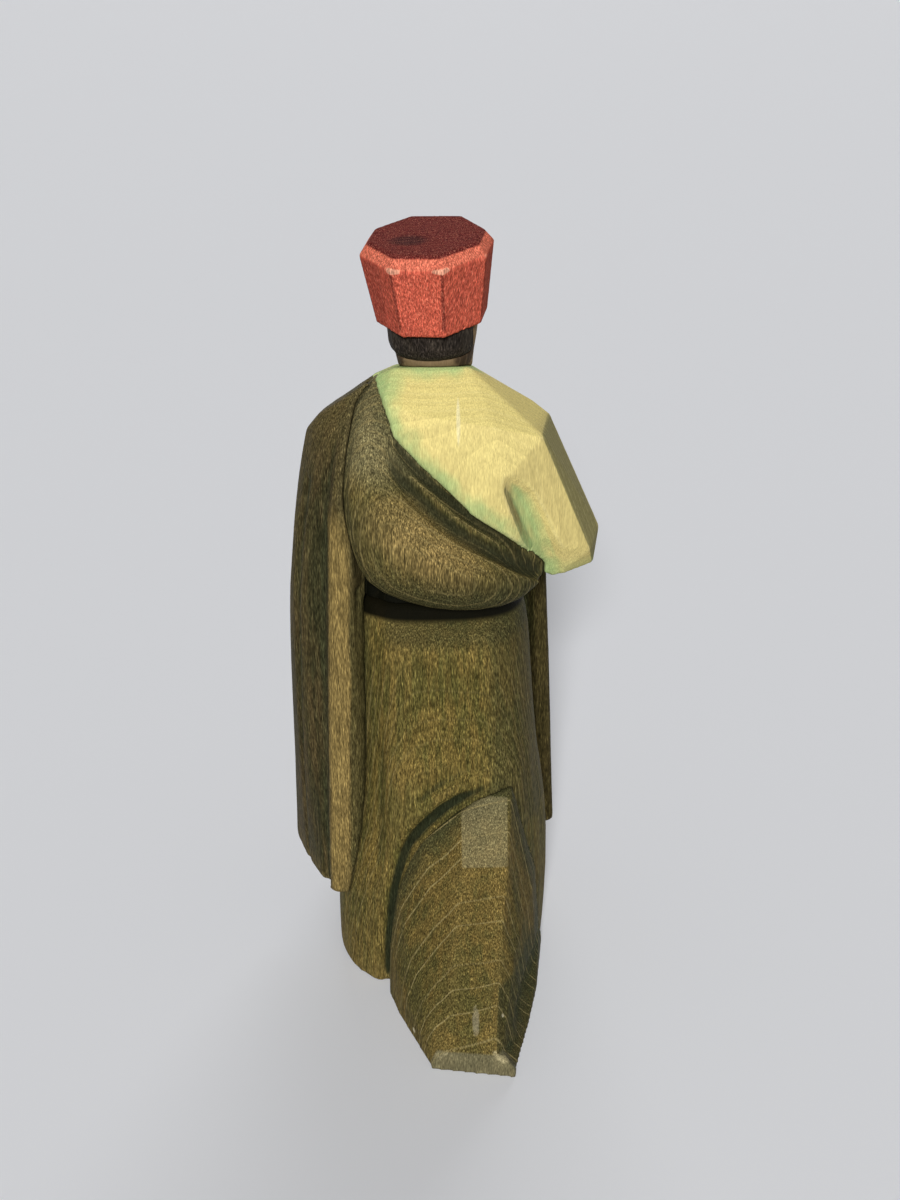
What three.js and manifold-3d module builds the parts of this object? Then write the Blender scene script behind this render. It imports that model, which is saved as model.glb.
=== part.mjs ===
// A kneeling nativity king, glued up from carved hardwood blocks on dowels.
// Millimetres, +Z up. The figure looks along +Y, so its right hand is at +X.
// The origin lies on the table, under the middle of the neck.
import * as THREE from 'three';
import { ConvexGeometry } from 'three/addons/geometries/ConvexGeometry.js';
import { mergeVertices } from 'three/addons/utils/BufferGeometryUtils.js';
import Module from 'manifold-3d';

const wasm = await Module();
wasm.setup();

// Driving dimensions: heights above the table.
const HEM_HEIGHT = 15; // underside of the cloak
const FALL_HEM_HEIGHT = 9.5; // underside of the cloth end in front
const RIDGE_HEIGHT = 40; // top of the ridge over the trailing leg
const KNEE_HEIGHT = 42; // top of the raised knee
const WAIST_HEIGHT = 71; // joint between the robe and the upper body

// Driving dimensions: heights above the waist joint.
const ELBOW_RISE = 9;
const HAND_RISE = 10;
const SHOULDER_RISE = 27.5;
const COLLAR_RISE = 36.5;

// Driving dimensions: reach from the middle of the neck, and widths.
const TRAIN_REACH = 36.5; // back to the end of the trailing leg
const TRAIN_END_WIDTH = 13.3;
const KNEE_REACH = 34; // forward to the raised knee
const CLOAK_REACH = 26.3; // left to the widest fold of the cloak
const SHOULDER_REACH = 18; // to the outer corner of either shoulder
const ELBOW_REACH = 26.2; // right to the point of the elbow
const WRIST_REACH = 22; // forward to both wrists
const FALL_REACH = 22; // right to the lower corner of the cloth end
const FALL_DEPTH = 7; // front to back through the cloth end

// Driving dimensions: head, hair, cap and casket.
const HEAD_TILT = 10; // degrees, chin raised
const HEAD_TURN = 10; // degrees, to the figure's right
const HEAD_LEAN = 3; // degrees, to the figure's left
const HEAD_OFFSET = 0.8; // right of the origin
const HEAD_WIDTH = 13.4;
const HEAD_DEPTH = 13.4;
const HEAD_LENGTH = 16; // chin to crown
const CHIN_DROP = 2.5; // chin below the collar
const NECK_WIDTH = 10.6;
const HAIR_DROP = 4.4; // from the edge of the cap down to the nape
const HAIR_THICKNESS = 1.5;
const CAP_RISE = 6.6; // edge of the cap above the collar
const CAP_HEIGHT = 11.9;
const CAP_RIM_WIDTH = 18.9;
const CAP_WALL = 0.5; // thinnest wood between the head and the foot of the cap
const CAP_BEVEL = 1.7;
const CASKET_LENGTH = 12;
const CASKET_DEPTH = 8.5;
const CASKET_HEIGHT = 9.5;

// Driving dimensions: joinery.
const GLUE_GAP = 0.3; // between two glued blocks
const DOWEL_DIAMETER = 3;
const SPINE_DIAMETER = 5;
const DOWEL_CLEARANCE = 0.2; // all round a dowel in its hole
const DOWEL_SIDES = 16;

// Stains on pale hardwood.
const stain = (name, color, roughness) =>
  new THREE.MeshStandardMaterial({ name, color, roughness, metalness: 0 });
const OLIVE = stain('olive_stain', 0x5f5228, 0.55);
const YELLOW = stain('yellow_stain', 0xd9c878, 0.6);
const RED = stain('red_stain', 0xa83c26, 0.55);
const BLACK = stain('black_stain', 0x1d1a17, 0.6);
const SKIN = stain('skin_stain', 0x8a5f3c, 0.55);
const OCHRE = stain('ochre_stain', 0xb98a2e, 0.5);
const BARE_WOOD = stain('bare_wood', 0xd8bd8a, 0.7);

const DEGREE = Math.PI / 180;
const point = ([x, y, z]) => new THREE.Vector3(x, y, z);
const UP = point([0, 0, 1]);
const curve = (points) => new THREE.CatmullRomCurve3(points.map(point), false, 'centripetal');

// Solids: closed triangle meshes that can be joined and cut.

/** A solid from loose geometry, with its shared corners merged. */
function solidOf(geometry) {
  const bare = geometry.clone();
  bare.deleteAttribute('normal');
  bare.deleteAttribute('uv');
  const merged = mergeVertices(bare, 1e-4);
  return new wasm.Manifold(
    new wasm.Mesh({
      numProp: 3,
      vertProperties: new Float32Array(merged.attributes.position.array),
      triVerts: new Uint32Array(merged.index.array),
    }),
  );
}

/** A solid back as three.js geometry. */
function geometryOf(solid) {
  const { vertProperties, triVerts } = solid.getMesh();
  const geometry = new THREE.BufferGeometry();
  geometry.setAttribute('position', new THREE.BufferAttribute(vertProperties, 3));
  geometry.setIndex(new THREE.BufferAttribute(triVerts, 1));
  geometry.computeVertexNormals();
  return geometry;
}

/** The solid after a move or turn. */
const moved = (solid, matrix) => solidOf(geometryOf(solid).applyMatrix4(matrix));

/** The largest body of a solid: chips that a cut leaves over fall away. */
function mainBody(solid) {
  return solid.decompose().reduce((a, b) => (a.volume() > b.volume() ? a : b));
}

/** The solid with every face moved out by gap, as the room that a neighbour leaves it. */
function swollen(solid, gap) {
  const { vertProperties, triVerts } = solid.getMesh();
  const corner = (i) => new THREE.Vector3().fromArray(vertProperties, 3 * i);
  const sums = Array.from({ length: vertProperties.length / 3 }, () => new THREE.Vector3());
  const faces = sums.map(() => []);
  for (let t = 0; t < triVerts.length; t += 3) {
    const ids = [triVerts[t], triVerts[t + 1], triVerts[t + 2]];
    const [a, b, c] = ids.map(corner);
    const normal = b.clone().sub(a).cross(c.clone().sub(a)).normalize();
    ids.forEach((id, k) => {
      const [p, q, r] = [[a, b, c], [b, c, a], [c, a, b]][k];
      const angle = q.clone().sub(p).angleTo(r.clone().sub(p));
      sums[id].addScaledVector(normal, angle);
      faces[id].push(normal);
    });
  }
  const MITRE_LIMIT = 2;
  const out = new Float32Array(vertProperties);
  sums.forEach((sum, i) => {
    const direction = sum.normalize();
    const least = Math.min(...faces[i].map((n) => n.dot(direction)));
    const reach = gap * Math.min(MITRE_LIMIT, 1 / Math.max(least, 1 / MITRE_LIMIT));
    corner(i).addScaledVector(direction, reach).toArray(out, 3 * i);
  });
  return new wasm.Manifold(new wasm.Mesh({ numProp: 3, vertProperties: out, triVerts }));
}

/** The stock cut back from its finished neighbours, with room for glue. */
const fitted = (stock, ...neighbours) =>
  mainBody(neighbours.reduce((left, n) => left.subtract(swollen(n, GLUE_GAP)), stock));

/** The stock after gouge cuts. */
const carved = (stock, ...cuts) => mainBody(cuts.reduce((left, cut) => left.subtract(cut), stock));

/** A flat-faceted block with these corners. */
const faceted = (corners) => solidOf(new ConvexGeometry(corners.map(point)));

/** A block whose skin runs from ring to ring of points, closed by a flat lid at each end. */
function skinned(rings) {
  const around = rings[0].length;
  const triangles = [];
  for (let j = 0; j + 1 < rings.length; j += 1) {
    for (let i = 0; i < around; i += 1) {
      const [a, b] = [j * around + i, j * around + ((i + 1) % around)];
      triangles.push(a, b, b + around, a, b + around, a + around);
    }
  }
  const last = (rings.length - 1) * around;
  flatTriangles(rings[0]).forEach(([a, b, c]) => triangles.push(a, c, b));
  flatTriangles(rings.at(-1)).forEach(([a, b, c]) => triangles.push(last + a, last + b, last + c));
  const geometry = new THREE.BufferGeometry().setFromPoints(rings.flat());
  geometry.setIndex(triangles);
  const solid = solidOf(geometry);
  return solid.volume() > 0 ? solid : solidOf(geometry.setIndex(triangles.reverse()));
}

/** A block with straight edges from corner to corner of its rings. */
const ruled = (rings) => skinned(rings.map((ring) => ring.map(point)));

/** A block through rings of guide points, smooth around each ring and from ring to ring. */
function lofted(rings, around, along) {
  const guides = rings[0].map((_, i) => curve(rings.map((ring) => ring[i])));
  const level = (j) => {
    const ring = new THREE.CatmullRomCurve3(
      guides.map((guide) => guide.getPoint(j / along)), true, 'centripetal');
    return Array.from({ length: around }, (_, i) => ring.getPoint(i / around));
  };
  return skinned(Array.from({ length: along + 1 }, (_, j) => level(j)));
}

/** The triangles that fill a nearly flat ring of points, turned the way the ring runs. */
function flatTriangles(ring) {
  const normal = new THREE.Vector3();
  ring.forEach((p, i) => normal.add(p.clone().cross(ring[(i + 1) % ring.length])));
  const turn = new THREE.Quaternion().setFromUnitVectors(normal.normalize(), UP);
  const flat = ring.map((p) => {
    const q = p.clone().applyQuaternion(turn);
    return new THREE.Vector2(q.x, q.y);
  });
  return THREE.ShapeUtils.triangulateShape(flat, []);
}

/** A round gouge cut that follows a path. */
function gouge(points, radius, sides = 8) {
  const path = curve(points);
  const STEPS_PER_POINT = 3;
  const section = new THREE.Shape(
    Array.from({ length: sides }, (_, i) => {
      const turn = (2 * Math.PI * i) / sides;
      return new THREE.Vector2(radius * Math.cos(turn), radius * Math.sin(turn));
    }),
  );
  return solidOf(
    new THREE.ExtrudeGeometry(section, {
      steps: STEPS_PER_POINT * (points.length - 1), extrudePath: path, bevelEnabled: false,
    }),
  );
}

/** A block with one outline across the figure, taken straight through from back to front. */
function slab(outline, back, front) {
  const shape = new THREE.Shape(outline.map(([x, z]) => new THREE.Vector2(x, z)));
  const block = new THREE.ExtrudeGeometry(shape, { depth: front - back, bevelEnabled: false });
  return solidOf(block.rotateX(90 * DEGREE).translate(0, front, 0));
}

// The scene: one group, with the head in a group of its own that leans back.
const king = new THREE.Group();
king.name = 'nativity_king';
const headGroup = new THREE.Group();
headGroup.position.set(HEAD_OFFSET, 0, WAIST_HEIGHT + COLLAR_RISE);
headGroup.rotation.set(HEAD_TILT * DEGREE, -HEAD_LEAN * DEGREE, -HEAD_TURN * DEGREE);
king.add(headGroup);
headGroup.updateMatrix();

/** Adds a finished solid to a group as a named mesh. */
function add(group, name, solid, material) {
  const mesh = new THREE.Mesh(geometryOf(solid), material);
  mesh.name = name;
  group.add(mesh);
}

// Heights above the waist, as heights above the table.
const waist = (rise) => WAIST_HEIGHT + rise;
const collar = waist(COLLAR_RISE);
const shoulder = waist(SHOULDER_RISE);
const elbow = waist(ELBOW_RISE);
const hand = waist(HAND_RISE);

// Dowels: plain pegs, each with the hole that takes it.
const dowels = [];

/** Adds a dowel between two points and remembers it for the holes. */
function dowel(group, name, from, to, diameter = DOWEL_DIAMETER) {
  const [a, b] = [point(from), point(to)];
  const length = a.distanceTo(b);
  const turn = new THREE.Quaternion().setFromUnitVectors(
    new THREE.Vector3(0, 1, 0), b.clone().sub(a).normalize());
  const peg = new THREE.Mesh(
    new THREE.CylinderGeometry(diameter / 2, diameter / 2, length, DOWEL_SIDES), BARE_WOOD);
  peg.name = name;
  peg.position.copy(a.add(b).multiplyScalar(0.5));
  peg.quaternion.copy(turn);
  group.add(peg);
  peg.updateMatrix();
  const bore = diameter / 2 + DOWEL_CLEARANCE;
  const hole = solidOf(
    new THREE.CylinderGeometry(bore, bore, length + 2 * DOWEL_CLEARANCE, DOWEL_SIDES));
  dowels.push({ hole: moved(hole, peg.matrix), group });
}

const SPINE_DEPTH = 12; // into the robe
const SPINE_RISE = 24; // above the waist, into the tunic
const SPINE_OFFSET = 4; // right of the neck's middle
dowel(king, 'spine_dowel', [SPINE_OFFSET, 0, waist(-SPINE_DEPTH)], [SPINE_OFFSET, 0, waist(SPINE_RISE)],
  SPINE_DIAMETER);
dowel(king, 'waist_dowel', [-6, 0, waist(-8)], [-6, 0, waist(8)]);
dowel(king, 'train_dowel_left', [2, -23, 8], [2, -6, 8]);
dowel(king, 'train_dowel_right', [10, -23, 8], [10, -6, 8]);
dowel(king, 'cloak_dowel_lower', [-20, 4, KNEE_HEIGHT - 7], [-9, 4, KNEE_HEIGHT - 7]);
dowel(king, 'cloak_dowel_upper', [-17, 2, waist(11)], [-5, 2, waist(11)]);
dowel(king, 'fall_dowel', [13, 11, KNEE_HEIGHT - 17], [13, 23, KNEE_HEIGHT - 17]);
dowel(king, 'right_arm_dowel', [ELBOW_REACH - 4.6, 0, elbow - 3], [ELBOW_REACH - 8, 9.5, elbow - 2]);
dowel(king, 'left_arm_dowel', [-16.6, 5, elbow - 2.6], [-13.8, 15, elbow - 0.8]);
dowel(headGroup, 'neck_dowel', [0, 0, -6], [0, 0, 8]);

/** The block with the holes for every dowel of its group. */
const drilled = (block, group = king) => mainBody(
  dowels.filter((d) => d.group === group).reduce((left, d) => left.subtract(d.hole), block));

// Robe: the standing block, over the upright right thigh and the raised left knee.
// Each ring runs from the rear left corner round by the right flank, the front and the left side.
const robeRings = [
  [0, [[-14, -11.6], [-8, -15.4], [4, -14.6], [14.2, -11.8], [18.6, 0], [17.5, 11], [13, 19.5],
    [5.5, 21], [0, 28], [-6.5, KNEE_REACH], [-15, KNEE_REACH - 5], [-18.4, 14], [-18.3, 3],
    [-17.2, -6]]],
  [14, [[-12.8, -11.2], [-7.3, -15.4], [4.5, -15.2], [14, -12.2], [19.3, 1.5], [17.6, 11],
    [13, 19.5], [5.3, 20.8], [0, 28], [-6.5, KNEE_REACH], [-14.8, KNEE_REACH - 5], [-18, 14],
    [-18, 3], [-16.8, -6]]],
  [KNEE_HEIGHT - 14, [[-11.2, -9.8], [-6.4, -14.8], [4.8, -15.3], [13.2, -12.9], [18.7, 0.6],
    [17, 11], [12.5, 19], [5, 20.5], [0, 28], [-6.5, KNEE_REACH], [-14.5, KNEE_REACH - 5],
    [-17.2, 14], [-17, 2], [-15, -4.5]]],
  [KNEE_HEIGHT - 2, [[-10.4, -8.8], [-5.8, -14.5], [4.6, -15.4], [12.4, -13.6], [17, -1],
    [15.6, 10.5], [11.5, 18], [5, 20], [0.3, 27], [-6.3, KNEE_REACH - 1], [-13.5, KNEE_REACH - 6],
    [-16, 14], [-15.8, 2], [-14, -4]]],
  [KNEE_HEIGHT + 6, [[-10.2, -8.4], [-5.6, -13.2], [4.5, -14], [11.8, -12.2], [16.3, -1.4],
    [14.6, 9], [10.5, 14.5], [5, 17], [0, 20], [-6, KNEE_REACH - 9], [-12.5, KNEE_REACH - 12],
    [-14.8, 13], [-14.8, 2], [-13.5, -4]]],
  [waist(-14), [[-10, -8.2], [-5.6, -12], [4.3, -12.4], [11.2, -11], [15.7, -1.2], [14, 7], [9, 12],
    [4, 13.5], [-1, 14], [-6, 14.5], [-11, 13], [-13.6, 8], [-14, 1.5], [-13, -4]]],
  [waist(-5.5), [[-9.8, -8], [-5.6, -11.2], [4.1, -11.5], [10.8, -10], [15, -1], [13.4, 6.4],
    [8.5, 10.8], [3.6, 11.6], [-1, 11.9], [-5.6, 11.8], [-10.4, 10.4], [-12.8, 6.6], [-13.4, 1],
    [-12.6, -4]]],
  [WAIST_HEIGHT, [[-9.6, -7.6], [-5.6, -9.2], [4, -9.3], [10.4, -7.6], [13.6, -1], [12.4, 6],
    [8, 9.6], [3.4, 10.5], [-1, 10.6], [-5.4, 10.4], [-9.6, 8.8], [-12, 5], [-12.6, 0],
    [-12.2, -4]]],
].map(([z, outline]) => outline.map(([x, y]) => [x, y, z]));

// The hem of the robe lifts in an arch over the trailing leg.
const archPath = [
  [14.4, -17.2, RIDGE_HEIGHT + 2.8], [11.6, -15.9, RIDGE_HEIGHT + 2], [8, -16.2, RIDGE_HEIGHT + 1.1],
  [4.4, -16.2, RIDGE_HEIGHT - 0.6], [1.2, -16.1, RIDGE_HEIGHT - 2.9],
  [-1.6, -15.9, RIDGE_HEIGHT - 5.7], [-3.9, -15.7, RIDGE_HEIGHT - 8.7],
  [-5.4, -15.5, RIDGE_HEIGHT - 11.4], [-6.5, -15.4, RIDGE_HEIGHT - 14.4],
  [-7.4, -15.2, RIDGE_HEIGHT - 17.9], [-8.2, -15.1, RIDGE_HEIGHT - 21.9], [-8.7, -15.2, 13.5],
  [-9.1, -15.3, 8.5], [-9.3, -15.4, 3.6], [-9.4, -15.5, -3],
];
const archGroove = gouge(archPath, 1.7);
const archCrease = gouge([
  [14.2, -16, RIDGE_HEIGHT + 5.4], [12.3, -14.7, RIDGE_HEIGHT + 5.3], [8.6, -15.4, RIDGE_HEIGHT + 5],
  [5.1, -15.8, RIDGE_HEIGHT + 4.1], [0.6, -16, RIDGE_HEIGHT + 1.7],
  [-2.4, -16.2, RIDGE_HEIGHT - 1.3], [-4.8, -17.4, RIDGE_HEIGHT - 6],
], 1.5);

// The valley between the robe and the hanging end of the cloak, up to the slung cloth.
const valley = gouge([
  [-9.7, -9, waist(3)], [-9.8, -9.8, waist(-1)], [-10, -10.3, waist(-5.5)], [-10.4, -10.9, waist(-14)],
  [-10.6, -11.5, KNEE_HEIGHT + 6], [-10.8, -12.1, KNEE_HEIGHT - 2], [-11.4, -12.9, KNEE_HEIGHT - 14],
  [-13, -15.6, 13],
], 2.6, 12);

// The cove under the slung cloth, along the top of the robe.
const slingCove = gouge([
  [-13, -9.2, waist(1.4)], [-9.8, -10.4, waist(-0.4)], [-5.7, -11.3, waist(-1.5)],
  [1.1, -11.5, waist(-1.7)], [8.6, -10.7, waist(-1.7)], [14.1, -7.7, waist(-1.4)], [18, -3.6, waist(-0.4)],
], 2.6, 12);

// Folds that hang from the raised knee, between the legs and along the right thigh.
const kneeFolds = [
  [[-2.6, KNEE_REACH + 0.4, -2], [-3.2, KNEE_REACH + 0.6, 18],
    [-4.6, KNEE_REACH - 0.6, KNEE_HEIGHT - 6]],
  [[-11.4, KNEE_REACH - 0.8, -2], [-10.8, KNEE_REACH - 0.6, 18],
    [-9, KNEE_REACH - 1.4, KNEE_HEIGHT - 6]],
  [[-18.8, 22, -2], [-18, 22, 14], [-16.6, 22, KNEE_HEIGHT - 8]],
  [[5, 22.2, -2], [4.6, 22, 18], [4.2, 21.4, KNEE_HEIGHT - 2], [2.6, 18.4, KNEE_HEIGHT + 6]],
  [[20, 9, -2], [20, 8, 14], [19, 7, KNEE_HEIGHT - 14], [17, 5.6, KNEE_HEIGHT]],
].map((path) => gouge(path, 2));

const robeStock = lofted(robeRings, 44, 14);
const robe = carved(robeStock, archGroove, archCrease, valley, slingCove, ...kneeFolds);
add(king, 'robe', drilled(robe), OLIVE);

// Train: the robe over the trailing right leg, cut in long flat facets.
// Each ring runs over the leg: left foot, left side, left shoulder, ridge, right crease, right foot.
const trainMiddle = 5.45;
const [trainLeft, trainRight] = [trainMiddle - TRAIN_END_WIDTH / 2, trainMiddle + TRAIN_END_WIDTH / 2];
const trainStock = ruled([
  [[trainLeft, 2 - TRAIN_REACH, 0], [trainLeft + 0.2, 2 - TRAIN_REACH, 0.8],
    [trainLeft + 0.9, 2 - TRAIN_REACH, 2], [1, 2 - TRAIN_REACH, 2.9], [2.5, 2.1 - TRAIN_REACH, 3.4],
    [8.9, 1.5 - TRAIN_REACH, 3.6], [trainRight - 0.1, 0.3 - TRAIN_REACH, 1.6],
    [trainRight, -TRAIN_REACH, 0]],
  [[trainLeft - 0.2, 3 - TRAIN_REACH, 0], [trainLeft, 3 - TRAIN_REACH, 1.7],
    [trainLeft + 0.7, 3 - TRAIN_REACH, 3.4], [1, 3 - TRAIN_REACH, 4.7], [2.6, 3 - TRAIN_REACH, 5.4],
    [9.1, 2.6 - TRAIN_REACH, 5.8], [trainRight - 2.1, 2.3 - TRAIN_REACH, 3.2],
    [trainRight + 0.2, 2 - TRAIN_REACH, 0]],
  [[-5.2, -25.5, 0], [-5, -25.3, 5.4], [-3.6, -25.2, 11], [0.2, -25.7, 17], [3, -26, RIDGE_HEIGHT - 19.2],
    [10.3, -25.6, RIDGE_HEIGHT - 18.8], [12, -26.2, 14.5], [14.7, -25.5, 0]],
  [[-7, -21.5, 0], [-6.8, -21.3, 7.6], [-5.2, -21.2, 16], [-0.8, -21.4, 24.6],
    [3.8, -21.8, RIDGE_HEIGHT - 10.2], [11.2, -21.4, RIDGE_HEIGHT - 9.6], [13.4, -21.5, 17],
    [15.6, -21.5, 0]],
  [[-8.8, -16.2, 0], [-8.4, -16.2, 10.5], [-6.7, -16.1, 22.5], [-2.3, -16, 33],
    [4.1, -15.8, RIDGE_HEIGHT - 0.7], [12, -15.2, RIDGE_HEIGHT + 1], [15.8, -14, 20], [16.7, -16.5, 0]],
  [[-8, -8, 0], [-7.4, -8, 9], [-5.4, -8, 20], [-1.4, -8, 29], [4.1, -8, RIDGE_HEIGHT - 4],
    [12.4, -8, RIDGE_HEIGHT - 3], [17.2, -5, 21], [18.5, -3, 0]],
]);
const flankScoop = gouge([
  [trainRight + 13.3, -2, 6.5], [trainRight + 9.4, -15, 5.8], [trainRight + 6, -26, 5.4],
  [trainRight + 6.4, -1.5 - TRAIN_REACH, 3.5],
], 6, 16);
const train = fitted(carved(trainStock, archGroove, flankScoop), robeStock);
add(king, 'train', drilled(train), OLIVE);

// The left shoulder falls away to the side and to the front.
const FORWARD_FALL = 0.21; // drop for each millimetre forward
const shoulderLine = [
  [2 * ELBOW_REACH, collar - 0.6], [-8, collar - 1.7], [1.2 - SHOULDER_REACH, shoulder + 1.4],
  [-SHOULDER_REACH - 0.9, shoulder - 1], [-SHOULDER_REACH - 2.6, shoulder - 8],
  [-2.5 * SHOULDER_REACH, -shoulder], [2 * ELBOW_REACH, -shoulder],
];
const shoulderBlock = faceted([-25, 30].flatMap((y) =>
  shoulderLine.map(([x, z]) => [x, y, z - FORWARD_FALL * (y + 4)])));

// Mantle: one cloth over the left shoulder, slung across the back and under the right arm.
// Its upper edge, next to the tunic, and its lower edge, both from the shoulder to the right side.
const seamTop = [
  [-7.9, -4, COLLAR_RISE - 1.6], [-6.6, -7.6, 31.8], [-4.4, -9, 27.9], [-1.5, -9.8, 23.9],
  [2.8, -10.4, 19.8], [7.2, -10.4, 15.8], [11.7, -9.6, 12], [15, -8, 8.1], [17.3, -6.4, 5],
];
const slingEdge = [
  [-10.7, -4.6, COLLAR_RISE - 4.5], [-12.2, -9.4, 24.2], [-12.8, -10.6, 17.5], [-11.8, -11.6, 10.7],
  [-9.7, -12, 5.6], [-3.5, -12.6, 2.2], [5, -13, 1], [12.5, -11, 1.4], [17.3, -7.4, 3.8],
];
// How far the cloth swells out between its edges, and how far it stands forward of the neck.
const bellies = [0.2, 1.6, 3, 4.2, 4.8, 4.6, 3.6, 1.9, 0.3];
const fronts = [3, 7.5, 9.8, 11, 11.6, 11.6, 11.2, 10.4, 9];

/** How much of its belly the cloth has, a share of the way from its upper to its lower edge. */
const bulge = (share) => Math.sin(Math.PI * share ** 1.15);

/** A point on the slung cloth at the back, lifted off it. */
function onSling(i, share, lift = 0) {
  const [top, low] = [seamTop[i], slingEdge[i]];
  const mix = (k) => top[k] + (low[k] - top[k]) * share;
  return [mix(0), mix(1) - bellies[i] * bulge(share) - lift, waist(mix(2))];
}

/** One ring of the sling: across the back from the upper to the lower edge, and home by the front. */
function slingRing(i) {
  const front = fronts[i];
  const atFront = (share, y) => {
    const [x, , z] = onSling(i, share);
    return [x, y, z - FORWARD_FALL * (y + 4)];
  };
  return [
    ...[0, 0.22, 0.5, 0.78, 1].map((share) => onSling(i, share)),
    atFront(1, 0), atFront(0.85, front - 1.5), atFront(0.5, front), atFront(0.15, front - 1.5),
    atFront(0, 2),
  ];
}
const sling = lofted(seamTop.map((_, i) => slingRing(i)), 30, 18);
const torsoCore = faceted([
  [-12, -4, waist(GLUE_GAP)], [-9.4, -7.4, waist(GLUE_GAP)], [-6, -9, waist(GLUE_GAP)],
  [5, -9, waist(GLUE_GAP)],
  [13.4, -4, waist(GLUE_GAP)], [13.4, 6, waist(GLUE_GAP)], [5, 10, waist(GLUE_GAP)],
  [-6, 10, waist(GLUE_GAP)], [-12.6, 6, waist(GLUE_GAP)], [-11, -4, waist(16)],
  [-12.2, 6, waist(16)], [-8, -5, waist(22)], [-8, 6, waist(22)], [14.5, -4.5, waist(4)],
  [14.5, 6, waist(4)],
]);

/** A gouge cut along the slung cloth, deepening from one of its rings and out under the right arm. */
function slingGroove(share, lift, first, radius) {
  const TAPER = 1.5; // rings from nothing to the full depth
  const shallow = (i) => (radius - lift) * Math.max(0, 1 - (i - first) / TAPER);
  const path = seamTop.map((_, i) => onSling(i, share, lift + shallow(i))).slice(first);
  const [before, last] = path.slice(-2);
  path.push(last.map((v, k) => 2 * v - before[k]));
  return gouge(path, radius);
}
const foldGrooves = [slingGroove(0.06, 0.3, 2, 1.4), slingGroove(0.18, 0.6, 2, 2)];
const sideGroove = gouge(
  slingEdge.slice(0, 5).map(([x, y, rise], i) => [x - 0.8, y - (i === 0 ? 2.4 : 0.6), waist(rise)]), 1.5);
const mantleStock = fitted(sling.add(torsoCore).intersect(shoulderBlock), robeStock);
const mantle = carved(mantleStock, ...foldGrooves, sideGroove, slingCove, valley);
add(king, 'mantle', drilled(mantle), OLIVE);

// Tunic: the upper back, chest and right upper arm, in broad knife facets.
const tunicStock = faceted([
  // Collar and upper back.
  [-5.2, -5.5, collar], [5.8, -5.5, collar], [5.8, 5, collar - 2.4], [-5.2, 5, collar - 2.4],
  [-8.6, -4, collar - 1.8], [-8.6, 4, collar - 3.6], [-6.4, -8.5, collar - 3.4],
  [-2.4, -10, collar - 5.6], [4, -10.8, collar - 6.4], [9.4, -11, shoulder + 1.6],
  [SHOULDER_REACH - 1.5, -9, shoulder - 0.5], [10.8, -12.4, shoulder - 6],
  [-5, -10.6, shoulder + 0.5], [7.2, -12.2, waist(15.6)], [12, -11.2, waist(12)],
  // Right shoulder and elbow.
  [SHOULDER_REACH - 2.6, 0, shoulder + 2.1], [SHOULDER_REACH - 2.6, 5, shoulder + 0.4],
  [SHOULDER_REACH, 0, shoulder], [SHOULDER_REACH - 1, 6, shoulder - 2],
  [SHOULDER_REACH - 0.9, -4.2, shoulder - 1.3], [ELBOW_REACH - 1.7, -4.6, elbow - 1.8],
  [ELBOW_REACH, 0.3, elbow], [ELBOW_REACH - 0.3, 1, elbow - 2.5],
  [ELBOW_REACH - 1, -2, elbow - 5.2], [ELBOW_REACH - 7.3, -4.5, elbow - 6.6],
  [ELBOW_REACH - 3, 7, elbow - 1], [ELBOW_REACH - 4, 7, elbow - 5], [ELBOW_REACH - 9, 6, elbow - 6],
  // Chest, and the underside that lies in the mantle.
  [-9, -6, waist(22)], [-9, 6, waist(22)], [0, 10.5, shoulder - 1], [9, 11, shoulder - 7],
  [3, 10.5, waist(12)],
]);
const armHollow = gouge([
  [12.3, -14.9, shoulder - 6], [14.3, -12.7, shoulder - 9.5], [15.8, -11.5, shoulder - 13.2],
  [17.4, -10.2, shoulder - 17.8], [19.1, -7.7, shoulder - 23.5], [20.8, -5.6, shoulder - 29],
], 3.2, 12);
const tunic = fitted(carved(tunicStock, armHollow), mantleStock);

// Head, in its own leaning frame: Z runs up from the collar, the face looks along +Y.
const [headHalf, headBack, headFront] = [HEAD_WIDTH / 2, 0.45 * HEAD_DEPTH, 0.55 * HEAD_DEPTH];
const neckHalf = NECK_WIDTH / 2;
const faceLevel = (share) => share * HEAD_LENGTH - CHIN_DROP;

/** One level of the head: half width, and how far it stands back and forward. */
const headRing = (z, half, back, front) => [
  [0, -back, z], [0.72 * half, -0.72 * back, z], [half, 0, z], [0.8 * half, 0.66 * front, z],
  [0.36 * half, 0.95 * front, z], [0, front, z], [-0.36 * half, 0.95 * front, z],
  [-0.8 * half, 0.66 * front, z], [-half, 0, z], [-0.72 * half, -0.72 * back, z],
];
const skull = lofted([
  headRing(faceLevel(-0.1), neckHalf, neckHalf, neckHalf - 0.8),
  headRing(faceLevel(0), neckHalf, neckHalf, headFront - 2.6),
  headRing(faceLevel(0.06), neckHalf, neckHalf, headFront - 1.5),
  headRing(faceLevel(0.2), neckHalf + 0.3, neckHalf, headFront - 1.1),
  headRing(faceLevel(0.36), headHalf - 0.6, headBack - 0.8, headFront - 0.6),
  headRing(faceLevel(0.6), headHalf, headBack, headFront - 0.2),
  headRing(faceLevel(0.8), headHalf - 0.5, headBack - 0.4, headFront - 1),
  headRing(faceLevel(0.95), headHalf - 2.4, headBack - 2.2, headFront - 3),
  headRing(faceLevel(1), headHalf - 5, headBack - 5, headFront - 6),
], 28, 15);
const eyeLevel = faceLevel(0.48);
const noseLevel = faceLevel(0.29);
const mouthLevel = faceLevel(0.18);
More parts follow.
